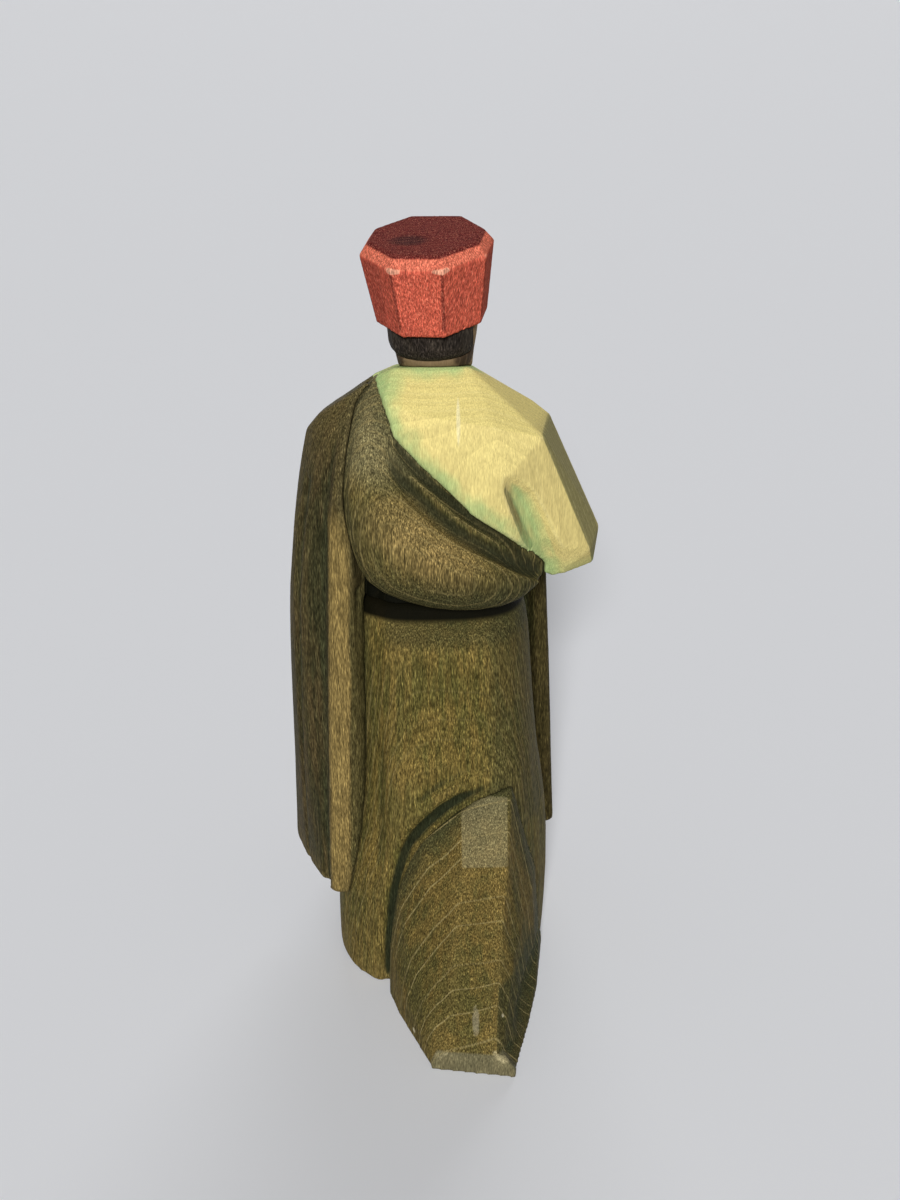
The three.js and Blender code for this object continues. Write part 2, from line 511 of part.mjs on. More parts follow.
const nose = faceted([
  [0, headFront - 1, eyeLevel + 0.8], [-1.5, headFront - 1.6, noseLevel],
  [1.5, headFront - 1.6, noseLevel], [-0.7, headFront + 0.7, noseLevel + 0.3],
  [0.7, headFront + 0.7, noseLevel + 0.3], [0, headFront - 2, noseLevel - 0.3],
]);
const eyeHollows = [-1, 1].map((side) => gouge([
  [side * 0.9, headFront + 0.5, eyeLevel - 0.2], [side * 2.6, headFront + 0.2, eyeLevel],
  [side * 4.6, headFront - 2, eyeLevel - 0.2],
], 0.9));
const mouthLine = gouge([
  [-1.9, headFront - 0.5, mouthLevel + 0.1], [0, headFront, mouthLevel],
  [1.9, headFront - 0.5, mouthLevel + 0.1],
], 0.4, 6);
const headStock = carved(skull.add(nose), ...eyeHollows, mouthLine);

// Hair: a band round the back of the head, let into it under the cap.
const HAIR_TUCK = 2; // how far the hair goes up under the cap
const HAIRLINE = -1.8; // where the hair ends, back from the middle of the head
const nape = CAP_RISE - HAIR_DROP;
const hairRing = (z, grow) => headRing(z, headHalf + grow, headBack + grow, headFront + grow);
const hairOuter = lofted([
  hairRing(nape, -0.7), hairRing(nape + 0.23 * HAIR_DROP, -0.1), hairRing(nape + 0.57 * HAIR_DROP, 0),
  hairRing(CAP_RISE + HAIR_TUCK, 0),
], 28, 4);
const hairInner = lofted([
  hairRing(nape - HAIR_DROP / 2, -HAIR_THICKNESS), hairRing(nape + HAIR_DROP / 2, -HAIR_THICKNESS),
  hairRing(CAP_RISE + HAIR_TUCK + 1, -HAIR_THICKNESS),
], 28, 2);
const faceSide = slab([
  [-HEAD_WIDTH, -HEAD_LENGTH], [HEAD_WIDTH, -HEAD_LENGTH], [HEAD_WIDTH, 2 * HEAD_LENGTH],
  [-HEAD_WIDTH, 2 * HEAD_LENGTH],
], HAIRLINE, HEAD_DEPTH);
const hair = mainBody(hairOuter.subtract(hairInner).subtract(faceSide));
const intoHead = headGroup.matrix.clone().invert();
const neckSeat = moved(swollen(tunic, GLUE_GAP), intoHead);
const head = mainBody(fitted(headStock, hair).subtract(neckSeat));

// Cap: a stiff faceted crown, wider at the rim, hollowed to sit on the head.
const capOutline = [
  [-0.97, -0.32], [-0.38, -0.94], [0.38, -0.94], [0.93, -0.32], [0.95, 0.32], [0.45, 0.94],
  [-0.45, 0.94], [-0.97, 0.32],
];
const capBand = 2 * (Math.max(HEAD_WIDTH, HEAD_DEPTH) / 2 + GLUE_GAP + CAP_WALL) / 0.94;
const capRing = (width, z) => capOutline.map(([x, y]) => [(x * width) / 2, 0.6 + (y * width) / 2, z]);
const capStock = faceted([
  ...capRing(capBand, CAP_RISE), ...capRing(CAP_RIM_WIDTH, CAP_RISE + CAP_HEIGHT - CAP_BEVEL),
  ...capRing(CAP_RIM_WIDTH - 1.6 * CAP_BEVEL, CAP_RISE + CAP_HEIGHT),
]);
const cap = fitted(capStock, head, hair);
add(headGroup, 'head', drilled(head, headGroup), SKIN);
add(headGroup, 'hair', hair, BLACK);
add(headGroup, 'cap', cap, RED);

// The tunic takes the holes of the body's dowels and of the one in the neck.
const neckHoles = dowels.filter((d) => d.group === headGroup)
  .map((d) => moved(d.hole, headGroup.matrix));
add(king, 'tunic', carved(drilled(tunic), ...neckHoles), YELLOW);

// Cloak: the end of the cloth that hangs from the left shoulder in deep upright folds.
// Each ring runs from the inside round by the rear ridge, the outer folds and the front edge.
const fold = CLOAK_REACH;
const cloakRings = [
  [HEM_HEIGHT, [[-9, -1], [-12.8, -6.4], [-15, -8.2], [-18.2, -8.2], [-20.3, -4.6],
    [3.9 - fold, -0.6], [1.2 - fold, 5.6], [-fold, 10.5], [1.8 - fold, 17], [-18.5, 20.5],
    [-10, 18]]],
  [waist(-36), [[-8.5, -1], [-11.6, -6.9], [-14.2, -9.6], [-17.3, -9.2], [-19.2, -6],
    [4.5 - fold, -3.6], [2.1 - fold, 2.2], [1.1 - fold, 8], [2.8 - fold, 15], [-18, 18.5],
    [-9.5, 16]]],
  [waist(-15), [[-8, -1], [-11.2, -6.9], [-13.3, -10.2], [-16.3, -9.8], [-18.1, -7],
    [5.3 - fold, -5], [2.9 - fold, -0.4], [2 - fold, 6], [3.6 - fold, 13.5], [-17.2, 16.8],
    [-9, 14.5]]],
  [waist(6), [[-7.5, -1], [-11.1, -7.2], [-12.6, -10.5], [-15.3, -9.8], [-17.1, -7.1],
    [6.4 - fold, -5.1], [4.2 - fold, -1.2], [3.4 - fold, 4], [4.8 - fold, 11], [-16.4, 14],
    [-8.5, 12.5]]],
  [shoulder - 8, [[-7, -1], [-10.8, -8.4], [-12.2, -9.8], [-14.4, -9], [-16, -6.8], [-17.8, -4.9],
    [1.4 - SHOULDER_REACH - 3, -1.5], [-SHOULDER_REACH - 2.3, 2.5], [-SHOULDER_REACH - 1, 8],
    [-14.5, 11], [-8, 10]]],
  [shoulder, [[-6, -1], [-9.6, -6.6], [-11, -7.4], [-13, -6.8], [-14.6, -5.4], [-16.3, -3.8],
    [0.2 - SHOULDER_REACH, -1], [-SHOULDER_REACH - 0.5, 1.5], [0.7 - SHOULDER_REACH, 5.5], [-13, 8],
    [-7, 7.5]]],
  [collar, [[-5, -1], [-7, -3.4], [-8, -3.8], [-9, -3.6], [-10, -2.8], [-11, -2], [-12, -0.6],
    [-12.4, 0.8], [-11.6, 3], [-9, 4.2], [-6, 4]]],
].map(([z, outline]) => outline.map(([x, y]) => [x, y, z]));
const cloakFolds = [
  gouge([
    [-20.6, -6.2, HEM_HEIGHT - 3], [-19.8, -7.4, waist(-36)], [-18.9, -8.2, waist(-15)],
    [-17.8, -8.4, waist(6)], [-16.6, -8.3, shoulder - 8], [-14.6, -7.6, shoulder + 1],
  ], 2),
  gouge([
    [2.3 - fold, 1.2, HEM_HEIGHT - 3], [2.9 - fold, -1.2, waist(-36)], [3.7 - fold, -3.2, waist(-15)],
    [5 - fold, -3.6, waist(6)], [-19, -4, shoulder - 8],
  ], 1.1),
  gouge([
    [0.2 - fold, 15.6, HEM_HEIGHT - 3], [1 - fold, 13, waist(-36)], [2 - fold, 11, waist(-15)],
    [3.4 - fold, 9, waist(6)],
  ], 1.6),
];
const cloakStock = lofted(cloakRings, 40, 11);
const cloakBlank = carved(cloakStock.intersect(shoulderBlock), sideGroove, valley, ...cloakFolds);
const cloak = fitted(cloakBlank, robeStock, mantleStock, tunicStock);
add(king, 'cloak', drilled(cloak), OLIVE);

// Sleeves: both forearms reach forward to the casket.
const cuff = (x, side) => [
  [x - side * 3.2, WRIST_REACH + 1.5, hand + 3.4], [x + side * 2.6, WRIST_REACH - 0.5, hand + 2.8],
  [x + side * 2.8, WRIST_REACH - 1, hand - 2.6], [x - side * 3, WRIST_REACH + 1, hand - 3.2],
];
const rightSleeveStock = faceted([
  [ELBOW_REACH - 1, 3, elbow], [ELBOW_REACH - 1.4, 3, elbow - 5], [ELBOW_REACH - 8.5, 2, elbow - 6],
  [15.5, 3, elbow + 4], [ELBOW_REACH - 4, 3, elbow + 3.4], ...cuff(10.5, 1),
]);
const rightSleeve = fitted(rightSleeveStock, tunicStock, mantleStock);
add(king, 'right_sleeve', drilled(rightSleeve), YELLOW);
const leftSleeveStock = faceted([
  [-20, 8, elbow + 1], [-20, 8, elbow - 5], [-13, 7, elbow - 5.6], [-13, 7, elbow + 3],
  [-17, 8, elbow + 3], ...cuff(-9.5, -1),
]);
const leftSleeve = fitted(leftSleeveStock, cloak, mantleStock, tunicStock);
add(king, 'left_sleeve', drilled(leftSleeve), YELLOW);

// Cloth end: the rest of the mantle, hung over the right forearm and down past the knee.
// Each ring runs from the outer rear corner along the back to the robe and home by the front.
const fallBack = WRIST_REACH - 2.4;
const fallFront = fallBack + FALL_DEPTH;
const fallRings = [
  [FALL_HEM_HEIGHT, [[FALL_REACH, fallBack + 0.6], [FALL_REACH - 2.4, fallBack - 0.2],
    [FALL_REACH - 4.8, fallBack + 1.4], [FALL_REACH - 7.4, fallBack - 1.6], [11, fallBack - 2],
    [8.5, fallBack + 2.5], [10, fallFront], [FALL_REACH - 8.4, fallFront + 0.8],
    [FALL_REACH - 5.8, fallFront - 1], [FALL_REACH - 3, fallFront + 0.4],
    [FALL_REACH - 0.7, fallFront - 2]]],
  [waist(-31), [[FALL_REACH - 1.4, fallBack + 0.4], [FALL_REACH - 3.4, fallBack - 0.3],
    [FALL_REACH - 5.6, fallBack + 1.1], [FALL_REACH - 8, fallBack - 2.2], [11, fallBack - 2.8],
    [8.8, fallBack + 1.5], [10, fallFront - 0.8], [FALL_REACH - 8.8, fallFront],
    [FALL_REACH - 6.6, fallFront - 1.6], [FALL_REACH - 4.2, fallFront - 0.4],
    [FALL_REACH - 2, fallFront - 2.6]]],
  [elbow + 2, [[18.6, fallBack - 0.6], [17.3, fallBack - 1], [15.8, fallBack], [14, fallBack - 0.8],
    [11.6, fallBack - 0.4], [9.8, fallBack + 2], [10.6, fallFront - 2.4], [12.8, fallFront - 2],
    [14.6, fallFront - 3], [16.4, fallFront - 2.4], [18, fallFront - 3.8]]],
].map(([z, outline]) => outline.map(([x, y]) => [x, y, z]));
const fall = fitted(lofted(fallRings, 33, 6), robeStock, rightSleeve);
add(king, 'mantle_fall', drilled(fall), OLIVE);

// Casket: the gift, with a hipped lid, held level between both hands.
const casketX = 0.5;
const casketBack = WRIST_REACH + 1;
const casketFoot = hand - 3;
const casketRing = (inset, z) => [[-1, -1], [1, -1], [1, 1], [-1, 1]].map(([sx, sy]) => [
  casketX + sx * (CASKET_LENGTH / 2 - inset),
  casketBack + CASKET_DEPTH / 2 + sy * (CASKET_DEPTH / 2 - inset),
  casketFoot + z,
]);
const casketBody = faceted([...casketRing(0.8, 0), ...casketRing(0, 0.6 * CASKET_HEIGHT)]);
const casketLid = faceted([
  ...casketRing(-0.4, 0.6 * CASKET_HEIGHT), ...casketRing(-0.4, 0.7 * CASKET_HEIGHT),
  ...casketRing(2, CASKET_HEIGHT),
]);
const casket = casketBody.add(casketLid);
add(king, 'gift_casket', casket, OCHRE);

// Hands: mittens with a carved thumb line, one on each side of the casket.
function handStock(side) {
  const x = casketX + (side * CASKET_LENGTH) / 2;
  return faceted([
    [x + side * 4.5, WRIST_REACH - 1, hand + 2], [x + side * 4.2, WRIST_REACH - 1, hand - 2.2],
    [x + side * 0.6, WRIST_REACH, hand + 2.2], [x + side * 0.6, WRIST_REACH, hand - 2.6],
    [x + side * 3.2, casketBack + 5, hand + 2.4], [x + side * 3, casketBack + 5, hand - 2.6],
    [x + side * 1.4, casketBack + 7, hand + 1.8], [x + side * 1.2, casketBack + 7, hand - 2.4],
    [x - side * 0.5, casketBack + 3, hand + 1], [x - side * 0.5, casketBack + 6, hand - 2],
  ]);
}
const thumbLine = (side) => {
  const x = casketX + (side * CASKET_LENGTH) / 2;
  return gouge([
    [x + side * 4.6, casketBack + 0.6, hand + 1], [x + side * 3.6, casketBack + 4, hand + 1.2],
    [x + side * 1.8, casketBack + 7.4, hand + 1],
  ], 0.5, 8);
};
const rightHand = fitted(carved(handStock(1), thumbLine(1)), rightSleeve, casket, fall);
const leftHand = fitted(carved(handStock(-1), thumbLine(-1)), leftSleeve, casket);
add(king, 'right_hand', rightHand, SKIN);
add(king, 'left_hand', leftHand, SKIN);

export default king;
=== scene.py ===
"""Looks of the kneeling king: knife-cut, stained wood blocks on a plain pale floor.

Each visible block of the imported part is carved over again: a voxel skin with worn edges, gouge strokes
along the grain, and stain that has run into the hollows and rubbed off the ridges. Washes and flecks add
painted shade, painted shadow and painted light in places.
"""

import logging
import math
from dataclasses import dataclass, field, replace
from enum import Enum
from typing import Dict, List, Mapping, Optional, Sequence, Tuple, Union

import bmesh
import bpy
from mathutils import Matrix, Vector


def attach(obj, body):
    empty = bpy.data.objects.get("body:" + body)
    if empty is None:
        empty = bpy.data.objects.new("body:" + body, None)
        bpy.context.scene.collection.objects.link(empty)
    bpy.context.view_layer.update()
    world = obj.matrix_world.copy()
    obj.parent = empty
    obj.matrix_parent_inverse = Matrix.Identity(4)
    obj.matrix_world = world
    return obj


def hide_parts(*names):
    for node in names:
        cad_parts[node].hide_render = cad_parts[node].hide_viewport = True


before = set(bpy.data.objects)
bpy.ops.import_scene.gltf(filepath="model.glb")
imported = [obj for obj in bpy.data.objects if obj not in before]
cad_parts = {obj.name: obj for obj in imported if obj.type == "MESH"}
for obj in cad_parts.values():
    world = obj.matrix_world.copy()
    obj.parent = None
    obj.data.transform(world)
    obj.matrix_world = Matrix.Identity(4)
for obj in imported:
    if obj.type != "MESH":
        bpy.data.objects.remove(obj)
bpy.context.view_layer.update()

LOG = logging.getLogger("king")
MM = 0.001
WELD = 0.001 * MM
FAR = 199.0
BODY = "root"
CARVED = "carved_"

Colour = Tuple[float, float, float]
Point = Tuple[float, float, float]
Term = Union[float, int, "Wire"]

TO_RIGHT: Point = (1.0, 0.0, 0.0)
UPWARD: Point = (0.0, 0.0, 1.0)
BELOW_ALL: Point = (-FAR, -FAR, -FAR)


class Cut(Enum):
    """How the knife left a block: width, length and depth of its strokes, in millimetres."""

    GOUGED = (2.6, 17.0, 0.09)
    FACETED = (5.5, 9.0, 0.03)
    PARED = (1.6, 3.0, 0.04)

    def __init__(self, width: float, length: float, depth: float) -> None:
        """Keeps a stroke's width across the grain, its length along it, and how far its ridges stand up."""
        self.width = width
        self.length = length
        self.depth = depth


class Wire:
    """One output of a node, which takes part in Python sums of single values."""

    def __init__(self, graph: "Graph", socket: bpy.types.NodeSocket) -> None:
        """Keeps the socket and the graph that it is in."""
        self.graph = graph
        self.socket = socket

    def maths(self, operation: str, *terms: Term) -> "Wire":
        """Adds one Math node.

        Args:
            operation: Blender's name for the sum.
            terms: What goes into its sockets, in order.

        Returns:
            The node's result.
        """
        return self.graph.node("ShaderNodeMath", {"operation": operation}, dict(enumerate(terms)))["Value"]

    def __add__(self, other: Term) -> "Wire":
        """Sum."""
        return self.maths("ADD", self, other)

    __radd__ = __add__

    def __sub__(self, other: Term) -> "Wire":
        """Difference."""
        return self.maths("SUBTRACT", self, other)

    def __rsub__(self, other: Term) -> "Wire":
        """Difference, with the wire on the right."""
        return self.maths("SUBTRACT", other, self)

    def __mul__(self, other: Term) -> "Wire":
        """Product."""
        return self.maths("MULTIPLY", self, other)

    __rmul__ = __mul__

    def __truediv__(self, other: Term) -> "Wire":
        """Quotient."""
        return self.maths("DIVIDE", self, other)

    def __abs__(self) -> "Wire":
        """Size without its sign."""
        return self.maths("ABSOLUTE", self)

    def root(self) -> "Wire":
        """Square root."""
        return self.maths("SQRT", self)

    def exponent(self) -> "Wire":
        """The number e to this power."""
        return self.maths("EXPONENT", self)

    def fraction(self) -> "Wire":
        """What is left after the whole number."""
        return self.maths("FRACT", self)

    def at_least(self, other: Term) -> "Wire":
        """The larger of two values."""
        return self.maths("MAXIMUM", self, other)

    def at_most(self, other: Term) -> "Wire":
        """The smaller of two values."""
        return self.maths("MINIMUM", self, other)

    def rise(self, low: float, high: float) -> "Wire":
        """A soft step from 0 to 1.

        Args:
            low: Where the step begins.
            high: Where it ends; below low for a step down.

        Returns:
            The step.
        """
        ends = {"Value": self, "From Min": low, "From Max": high}
        if low > high:
            ends = {"Value": self, "From Min": high, "From Max": low, "To Min": 1.0, "To Max": 0.0}
        return self.graph.node("ShaderNodeMapRange", {"interpolation_type": "SMOOTHSTEP"}, ends)["Result"]

    def window(self, low: float, high: float, soft: float) -> "Wire":
        """1 between two limits, with soft sides.

        Args:
            low: Lower limit.
            high: Upper limit.
            soft: Width of each side.

        Returns:
            The window.
        """
        return self.rise(low - soft, low + soft) * self.rise(high + soft, high - soft)


class Placed:
    """A node in a graph, whose outputs are taken by name."""

    def __init__(self, graph: "Graph", node: bpy.types.Node) -> None:
        """Keeps the node and the graph that it is in."""
        self.graph = graph
        self.node = node

    def __getitem__(self, key: Union[str, int]) -> Wire:
        """The output of that name or place."""
        return Wire(self.graph, find_socket(self.node.outputs, key))


def find_socket(sockets: Sequence[bpy.types.NodeSocket], key: Union[str, int]) -> bpy.types.NodeSocket:
    """Finds a socket among those in use.

    Args:
        sockets: A node's inputs or outputs.
        key: The socket's place or name.

    Returns:
        The socket.
    """
    if isinstance(key, int):
        return sockets[key]
    return next(s for s in sockets if s.enabled and s.name == key)


class Graph:
    """A tree of nodes, for a material or for geometry."""

    def __init__(self, tree: bpy.types.NodeTree) -> None:
        """Keeps the tree that the nodes go into."""
        self.tree = tree

    def node(
        self,
        kind: str,
        settings: Optional[Mapping[str, object]] = None,
        sockets: Optional[Mapping[Union[str, int], object]] = None,
    ) -> Placed:
        """Adds a node of any kind.

        Args:
            kind: The node's type.
            settings: Its own settings, made first.
            sockets: Values or wires for its inputs, by name or place.

        Returns:
            The node, ready for its outputs to be used.
        """
        made = self.tree.nodes.new(kind)
        for name, value in (settings or {}).items():
            setattr(made, name, value)
        for key, value in (sockets or {}).items():
            socket = find_socket(made.inputs, key)
            if isinstance(value, Wire):
                self.tree.links.new(value.socket, socket)
            else:
                socket.default_value = value
        return Placed(self, made)

    def vector(self, operation: str, *terms: Union[Wire, Point]) -> Wire:
        """Vector Math on two vectors, with a vector as its result."""
        made = self.node("ShaderNodeVectorMath", {"operation": operation}, dict(enumerate(terms)))
        return made["Vector"]

    def scaled(self, vector: Wire, factor: Term) -> Wire:
        """A vector or a colour, times a value."""
        return self.node(
            "ShaderNodeVectorMath", {"operation": "SCALE"}, {"Vector": vector, "Scale": factor}
        )["Vector"]

    def measure(self, operation: str, *terms: Union[Wire, Point]) -> Wire:
        """Vector Math with a single value as its result, such as a length."""
        made = self.node("ShaderNodeVectorMath", {"operation": operation}, dict(enumerate(terms)))
        return made["Value"]

    def blend(self, under: Union[Wire, Colour], over: Union[Wire, Colour], factor: Term) -> Wire:
        """Lays one colour over another.

        Args:
            under: The colour below.
            over: The colour on top.
            factor: How far the top one covers.

        Returns:
            The mixed colour.
        """
        sockets = {"Factor": factor, "A": opaque(under), "B": opaque(over)}
        return self.node("ShaderNodeMix", {"data_type": "RGBA"}, sockets)["Result"]


def opaque(colour: Union[Wire, Colour]) -> Union[Wire, Tuple[float, ...]]:
    """A colour with its fourth number, where it is not a wire."""
    return colour if isinstance(colour, Wire) else (*colour, 1.0)


def empty_graph(owner: Union[bpy.types.Material, bpy.types.World]) -> Graph:
    """Clears the nodes of a material or a world.

    Args:
        owner: What the nodes belong to.

    Returns:
        Its graph, ready for new nodes.
    """
    owner.use_nodes = True
    owner.node_tree.nodes.clear()
    return Graph(owner.node_tree)


def put(name: str, data: bpy.types.ID) -> bpy.types.Object:
    """Puts an object into the scene.

    Args:
        name: Its name.
        data: Its mesh, lamp or camera.

    Returns:
        The object, at the origin.
    """
    made = bpy.data.objects.new(name, data)
    bpy.context.scene.collection.objects.link(made)
    return made


@dataclass(frozen=True)
class Timber:
    """The block that the figure is cut from, with its grain upright. Lengths in millimetres."""

    pith: Point = (1.0, 78.0, 0.0)
    lean: float = 0.06
    slope: float = 0.03
    tight_ring: float = 0.95
    wide_ring: float = 2.35
    wide_from: float = 91.0
    widening: float = 0.5
    ring_wander: float = 1.6
    wander_size: float = 26.0
    line_width: float = 0.36
    least_turn: float = 0.002
    faint: float = 0.35
    clear: Tuple[float, float] = (0.25, 0.7)
    missing: Tuple[float, float] = (0.05, 0.45)
    uneven_size: float = 0.55
    uneven_years: float = 1.1
    fibre_width: float = 0.22
    fibre_length: float = 4.0
    pore_width: float = 0.15
    pore_length: float = 1.1
    streak_width: float = 1.1
    streak_length: float = 22.0
    cloud_width: float = 9.0
    cloud_length: float = 16.0
    crispness: float = 0.68


class Surface:
    """What a material knows about the place that it colours, in millimetres."""

    SHIFT_ALONG = (1.0, 0.7, 1.0)

    def __init__(self, graph: Graph, timber: Timber, home: Matrix) -> None:
        """Adds the nodes that read the place and the carving.

        Args:
            graph: The material's graph.
            timber: The wood that shows through the stain.
            home: The frame of the piece's group, in millimetres; washes are placed in it.
        """
        self.graph = graph
        self.timber = timber
        coordinates = graph.node("ShaderNodeTexCoord")["Object"]
        self.place = graph.scaled(coordinates, 1.0 / MM)
        self.normal = graph.node("ShaderNodeNewGeometry")["Normal"]
        inward = home.inverted()
        mapping = {
            "Vector": self.place,
            "Location": inward.to_translation(),
            "Rotation": inward.to_euler("XYZ"),
        }
        local = graph.node("ShaderNodeMapping", {"vector_type": "POINT"}, mapping)["Vector"]
        split = graph.node("ShaderNodeSeparateXYZ", None, {"Vector": local})
        self.x, self.y, self.z = split["X"], split["Y"], split["Z"]
        self.relief = self.carved("relief")
        self.sweep = self.carved("sweep")
        self.edge = self.carved("edge")
        self.seam = self.carved("seam")

    def carved(self, name: str) -> Wire:
        """A value that the carving has left on the piece."""
        return self.graph.node("ShaderNodeAttribute", {"attribute_name": name})["Fac"]

    def noise(self, width: float, length: float, detail: float = 2.0, shift: float = 0.0) -> Wire:
        """Noise that runs along the grain.

        Args:
            width: Size of its marks across the grain.
            length: Size along the grain.
            detail: Finer layers.
            shift: Moves the pattern, so that two of the same size differ.

        Returns:
            The noise, about 0.5 on average.
        """
        scale = (1.0 / width, 1.0 / width, 1.0 / length)
        offset = tuple(shift * part for part in self.SHIFT_ALONG)
        stretched = self.graph.vector("MULTIPLY_ADD", self.place, scale, offset)
        return self.graph.node("ShaderNodeTexNoise", None, {
            "Vector": stretched, "Scale": 1.0, "Detail": detail, "Roughness": self.timber.crispness})["Fac"]

    def growth(self) -> Tuple[Wire, Wire]:
        """The growth rings, tight near the pith and wide beyond; they blur on a face that runs along them.

        Returns:
            Thin pale lines between years, and the slow change of tone within a year.
        """
        timber = self.timber
        flat = self.graph.vector("MULTIPLY", self.place, (1.0, 1.0, timber.slope))
        outward = self.graph.vector("SUBTRACT", flat, timber.pith)
        from_pith = self.graph.measure("LENGTH", outward)
        drift = self.noise(timber.wander_size, 3 * timber.wander_size, detail=1.0)
        wander = (drift - 0.5) * timber.ring_wander
        past = from_pith + wander - timber.lean * self.z - timber.wide_from
        year = past.at_most(0.0) / timber.tight_ring + past.at_least(0.0) / timber.wide_ring
        wider = past.rise(-timber.widening, timber.widening)
        width = timber.tight_ring + (timber.wide_ring - timber.tight_ring) * wider
        uneven = self.graph.node("ShaderNodeTexNoise", {"noise_dimensions": "1D"}, {
            "W": year, "Scale": timber.uneven_size, "Detail": 0.0})["Fac"]
        season = (year + uneven * timber.uneven_years).fraction()
        along = self.graph.measure("DOT_PRODUCT", self.normal, self.graph.vector("NORMALIZE", outward))
        across = (1.0 - along * along).at_least(timber.least_turn).root()
        line = (abs(season - 0.5) * width / across.root()).rise(0.5 * timber.line_width, 0.0)
        clear = timber.faint + (1.0 - timber.faint) * across.rise(*timber.clear)
        return line * clear * uneven.rise(*timber.missing), season


@dataclass(frozen=True)
class Wash:
    """A thin colour laid over the stain in one place, for paint and for painted light and shade; a calm one
    also hides the flecks.
    """

    colour: Colour
    strength: float
    calm: float = field(default=0.0, kw_only=True)

    def mask(self, surface: Surface) -> Wire:
        """Where the wash lies, from 0 to 1."""
        raise NotImplementedError


@dataclass(frozen=True)
class SeamWash(Wash):
    """Colour along the joint with the next block."""

    BRUSH = (3.0, 5.0)
    CORE = 0.25

    reach: float
    ragged: float

    def mask(self, surface: Surface) -> Wire:
        """Strong at the joint, and ragged where it fades out."""
        wobble = (surface.noise(*self.BRUSH, shift=4.0) - 0.5) * 2 * self.ragged
        return (surface.seam + wobble).rise(self.reach, self.CORE * self.reach)


@dataclass(frozen=True)
class BoxWash(Wash):
    """Colour inside a box with at least one limit; a side at FAR has none."""

    low: Point
    high: Point

    def inside(self, surface: Surface, soft: float) -> Wire:
        """Masks the box.

        Args:
            surface: The material's surface, in the frame of the piece's group.
            soft: Width of the box's soft sides.

        Returns:
            1 inside and 0 outside.
        """
        axes = zip((surface.x, surface.y, surface.z), self.low, self.high)
        sides = [axis.window(low, high, soft) for axis, low, high in axes if low > -FAR or high < FAR]
        mask = sides[0]
        for other in sides[1:]:
            mask = mask * other
        return mask


def layer(foot: float, top: float) -> Tuple[Point, Point]:
    """The corners of a box that is limited by two heights only."""
    return (-FAR, -FAR, foot), (FAR, FAR, top)


@dataclass(frozen=True)
class ReliefWash(BoxWash):
    """Colour that lies where the carving dips or stands out, inside a box."""

    BRUSH = (2.0, 4.0)
    WOBBLE = 0.2
    SIDES = 0.8
    JOINT_FADE = 0.6

    start: float
    full: float
    from_joint: float = FAR

    def mask(self, surface: Surface) -> Wire:
        """Follows the broad relief of the carving, within the box and not too far from the joint."""
        wobble = (surface.noise(*self.BRUSH, shift=9.0) - 0.5) * self.WOBBLE
        depth = (surface.relief + wobble).rise(self.start, self.full)
        near = surface.seam.rise(self.from_joint + self.JOINT_FADE, self.from_joint - self.JOINT_FADE)
        return depth * near * self.inside(surface, self.SIDES)


@dataclass(frozen=True)
class EdgeWash(BoxWash):
    """Colour along the sharp edges between facets, inside a box."""

    SIDES = 0.2

    start: float
    full: float

    def mask(self, surface: Surface) -> Wire:
        """Follows the fine relief of the carving, within the box."""
        return surface.edge.rise(self.start, self.full) * self.inside(surface, self.SIDES)


@dataclass(frozen=True)
class FacetWash(BoxWash):
    """Colour on the facets that are turned one way, inside a box."""

    SIDES = 0.8

    facing: Point
    start: float
    full: float

    def mask(self, surface: Surface) -> Wire:
        """Follows the turn of the facets, within the box."""
        turned = surface.graph.measure("DOT_PRODUCT", surface.normal, self.facing)
        return turned.rise(self.start, self.full) * self.inside(surface, self.SIDES)


@dataclass(frozen=True)
class PatchWash(BoxWash):
    """Colour all over a box, with soft sides."""

    soft: float

    def mask(self, surface: Surface) -> Wire:
        """The box itself."""
        return self.inside(surface, self.soft)


@dataclass(frozen=True)
class SpotWash(Wash):
    """An oval of colour, such as a knot, an eye or a lip; mirrored where it is one of two."""

    CRUMB = (0.7, 0.7)

    centre: Point
    radii: Point
    soft: float
    paired: bool = False
    ragged: float = 0.0

    def mask(self, surface: Surface) -> Wire:
        """Full in the middle of the oval, and nothing beyond its rim."""
        across = abs(surface.x) if self.paired else surface.x
        shares = [
            (axis - middle) / radius
            for axis, middle, radius in zip((across, surface.y, surface.z), self.centre, self.radii)
        ]
        squares = shares[0] * shares[0] + shares[1] * shares[1] + shares[2] * shares[2]
        if self.ragged:
            crumbs = surface.noise(*self.CRUMB, detail=1.0, shift=6.0) - 0.5
            squares = squares + crumbs * 4 * self.ragged
        return squares.rise(1.0 + self.soft, 1.0 - self.soft)


@dataclass(frozen=True)
class StripWash(Wash):
    """A strip of colour up the back, which leans to the right as it rises."""

    BRUSH = (3.0, 16.0)
    SIDES = 0.3
    FRONT = 0.5
    ENDS = 2.5
    WANDER = 1.2

    foot: Point
    top: float
    lean: float
    half_width: float

    def mask(self, surface: Surface) -> Wire:
        """The strip behind its foot, with edges that wander a little."""
        middle, front, low = self.foot
        wander = (surface.noise(*self.BRUSH, shift=8.0) - 0.5) * self.WANDER
        aside = surface.x - self.lean * (surface.z - low) - middle + wander
        behind = surface.y.rise(front + self.FRONT, front - self.FRONT)
        upright = surface.z.window(low, self.top, self.ENDS)
        return aside.window(-self.half_width, self.half_width, self.SIDES) * upright * behind


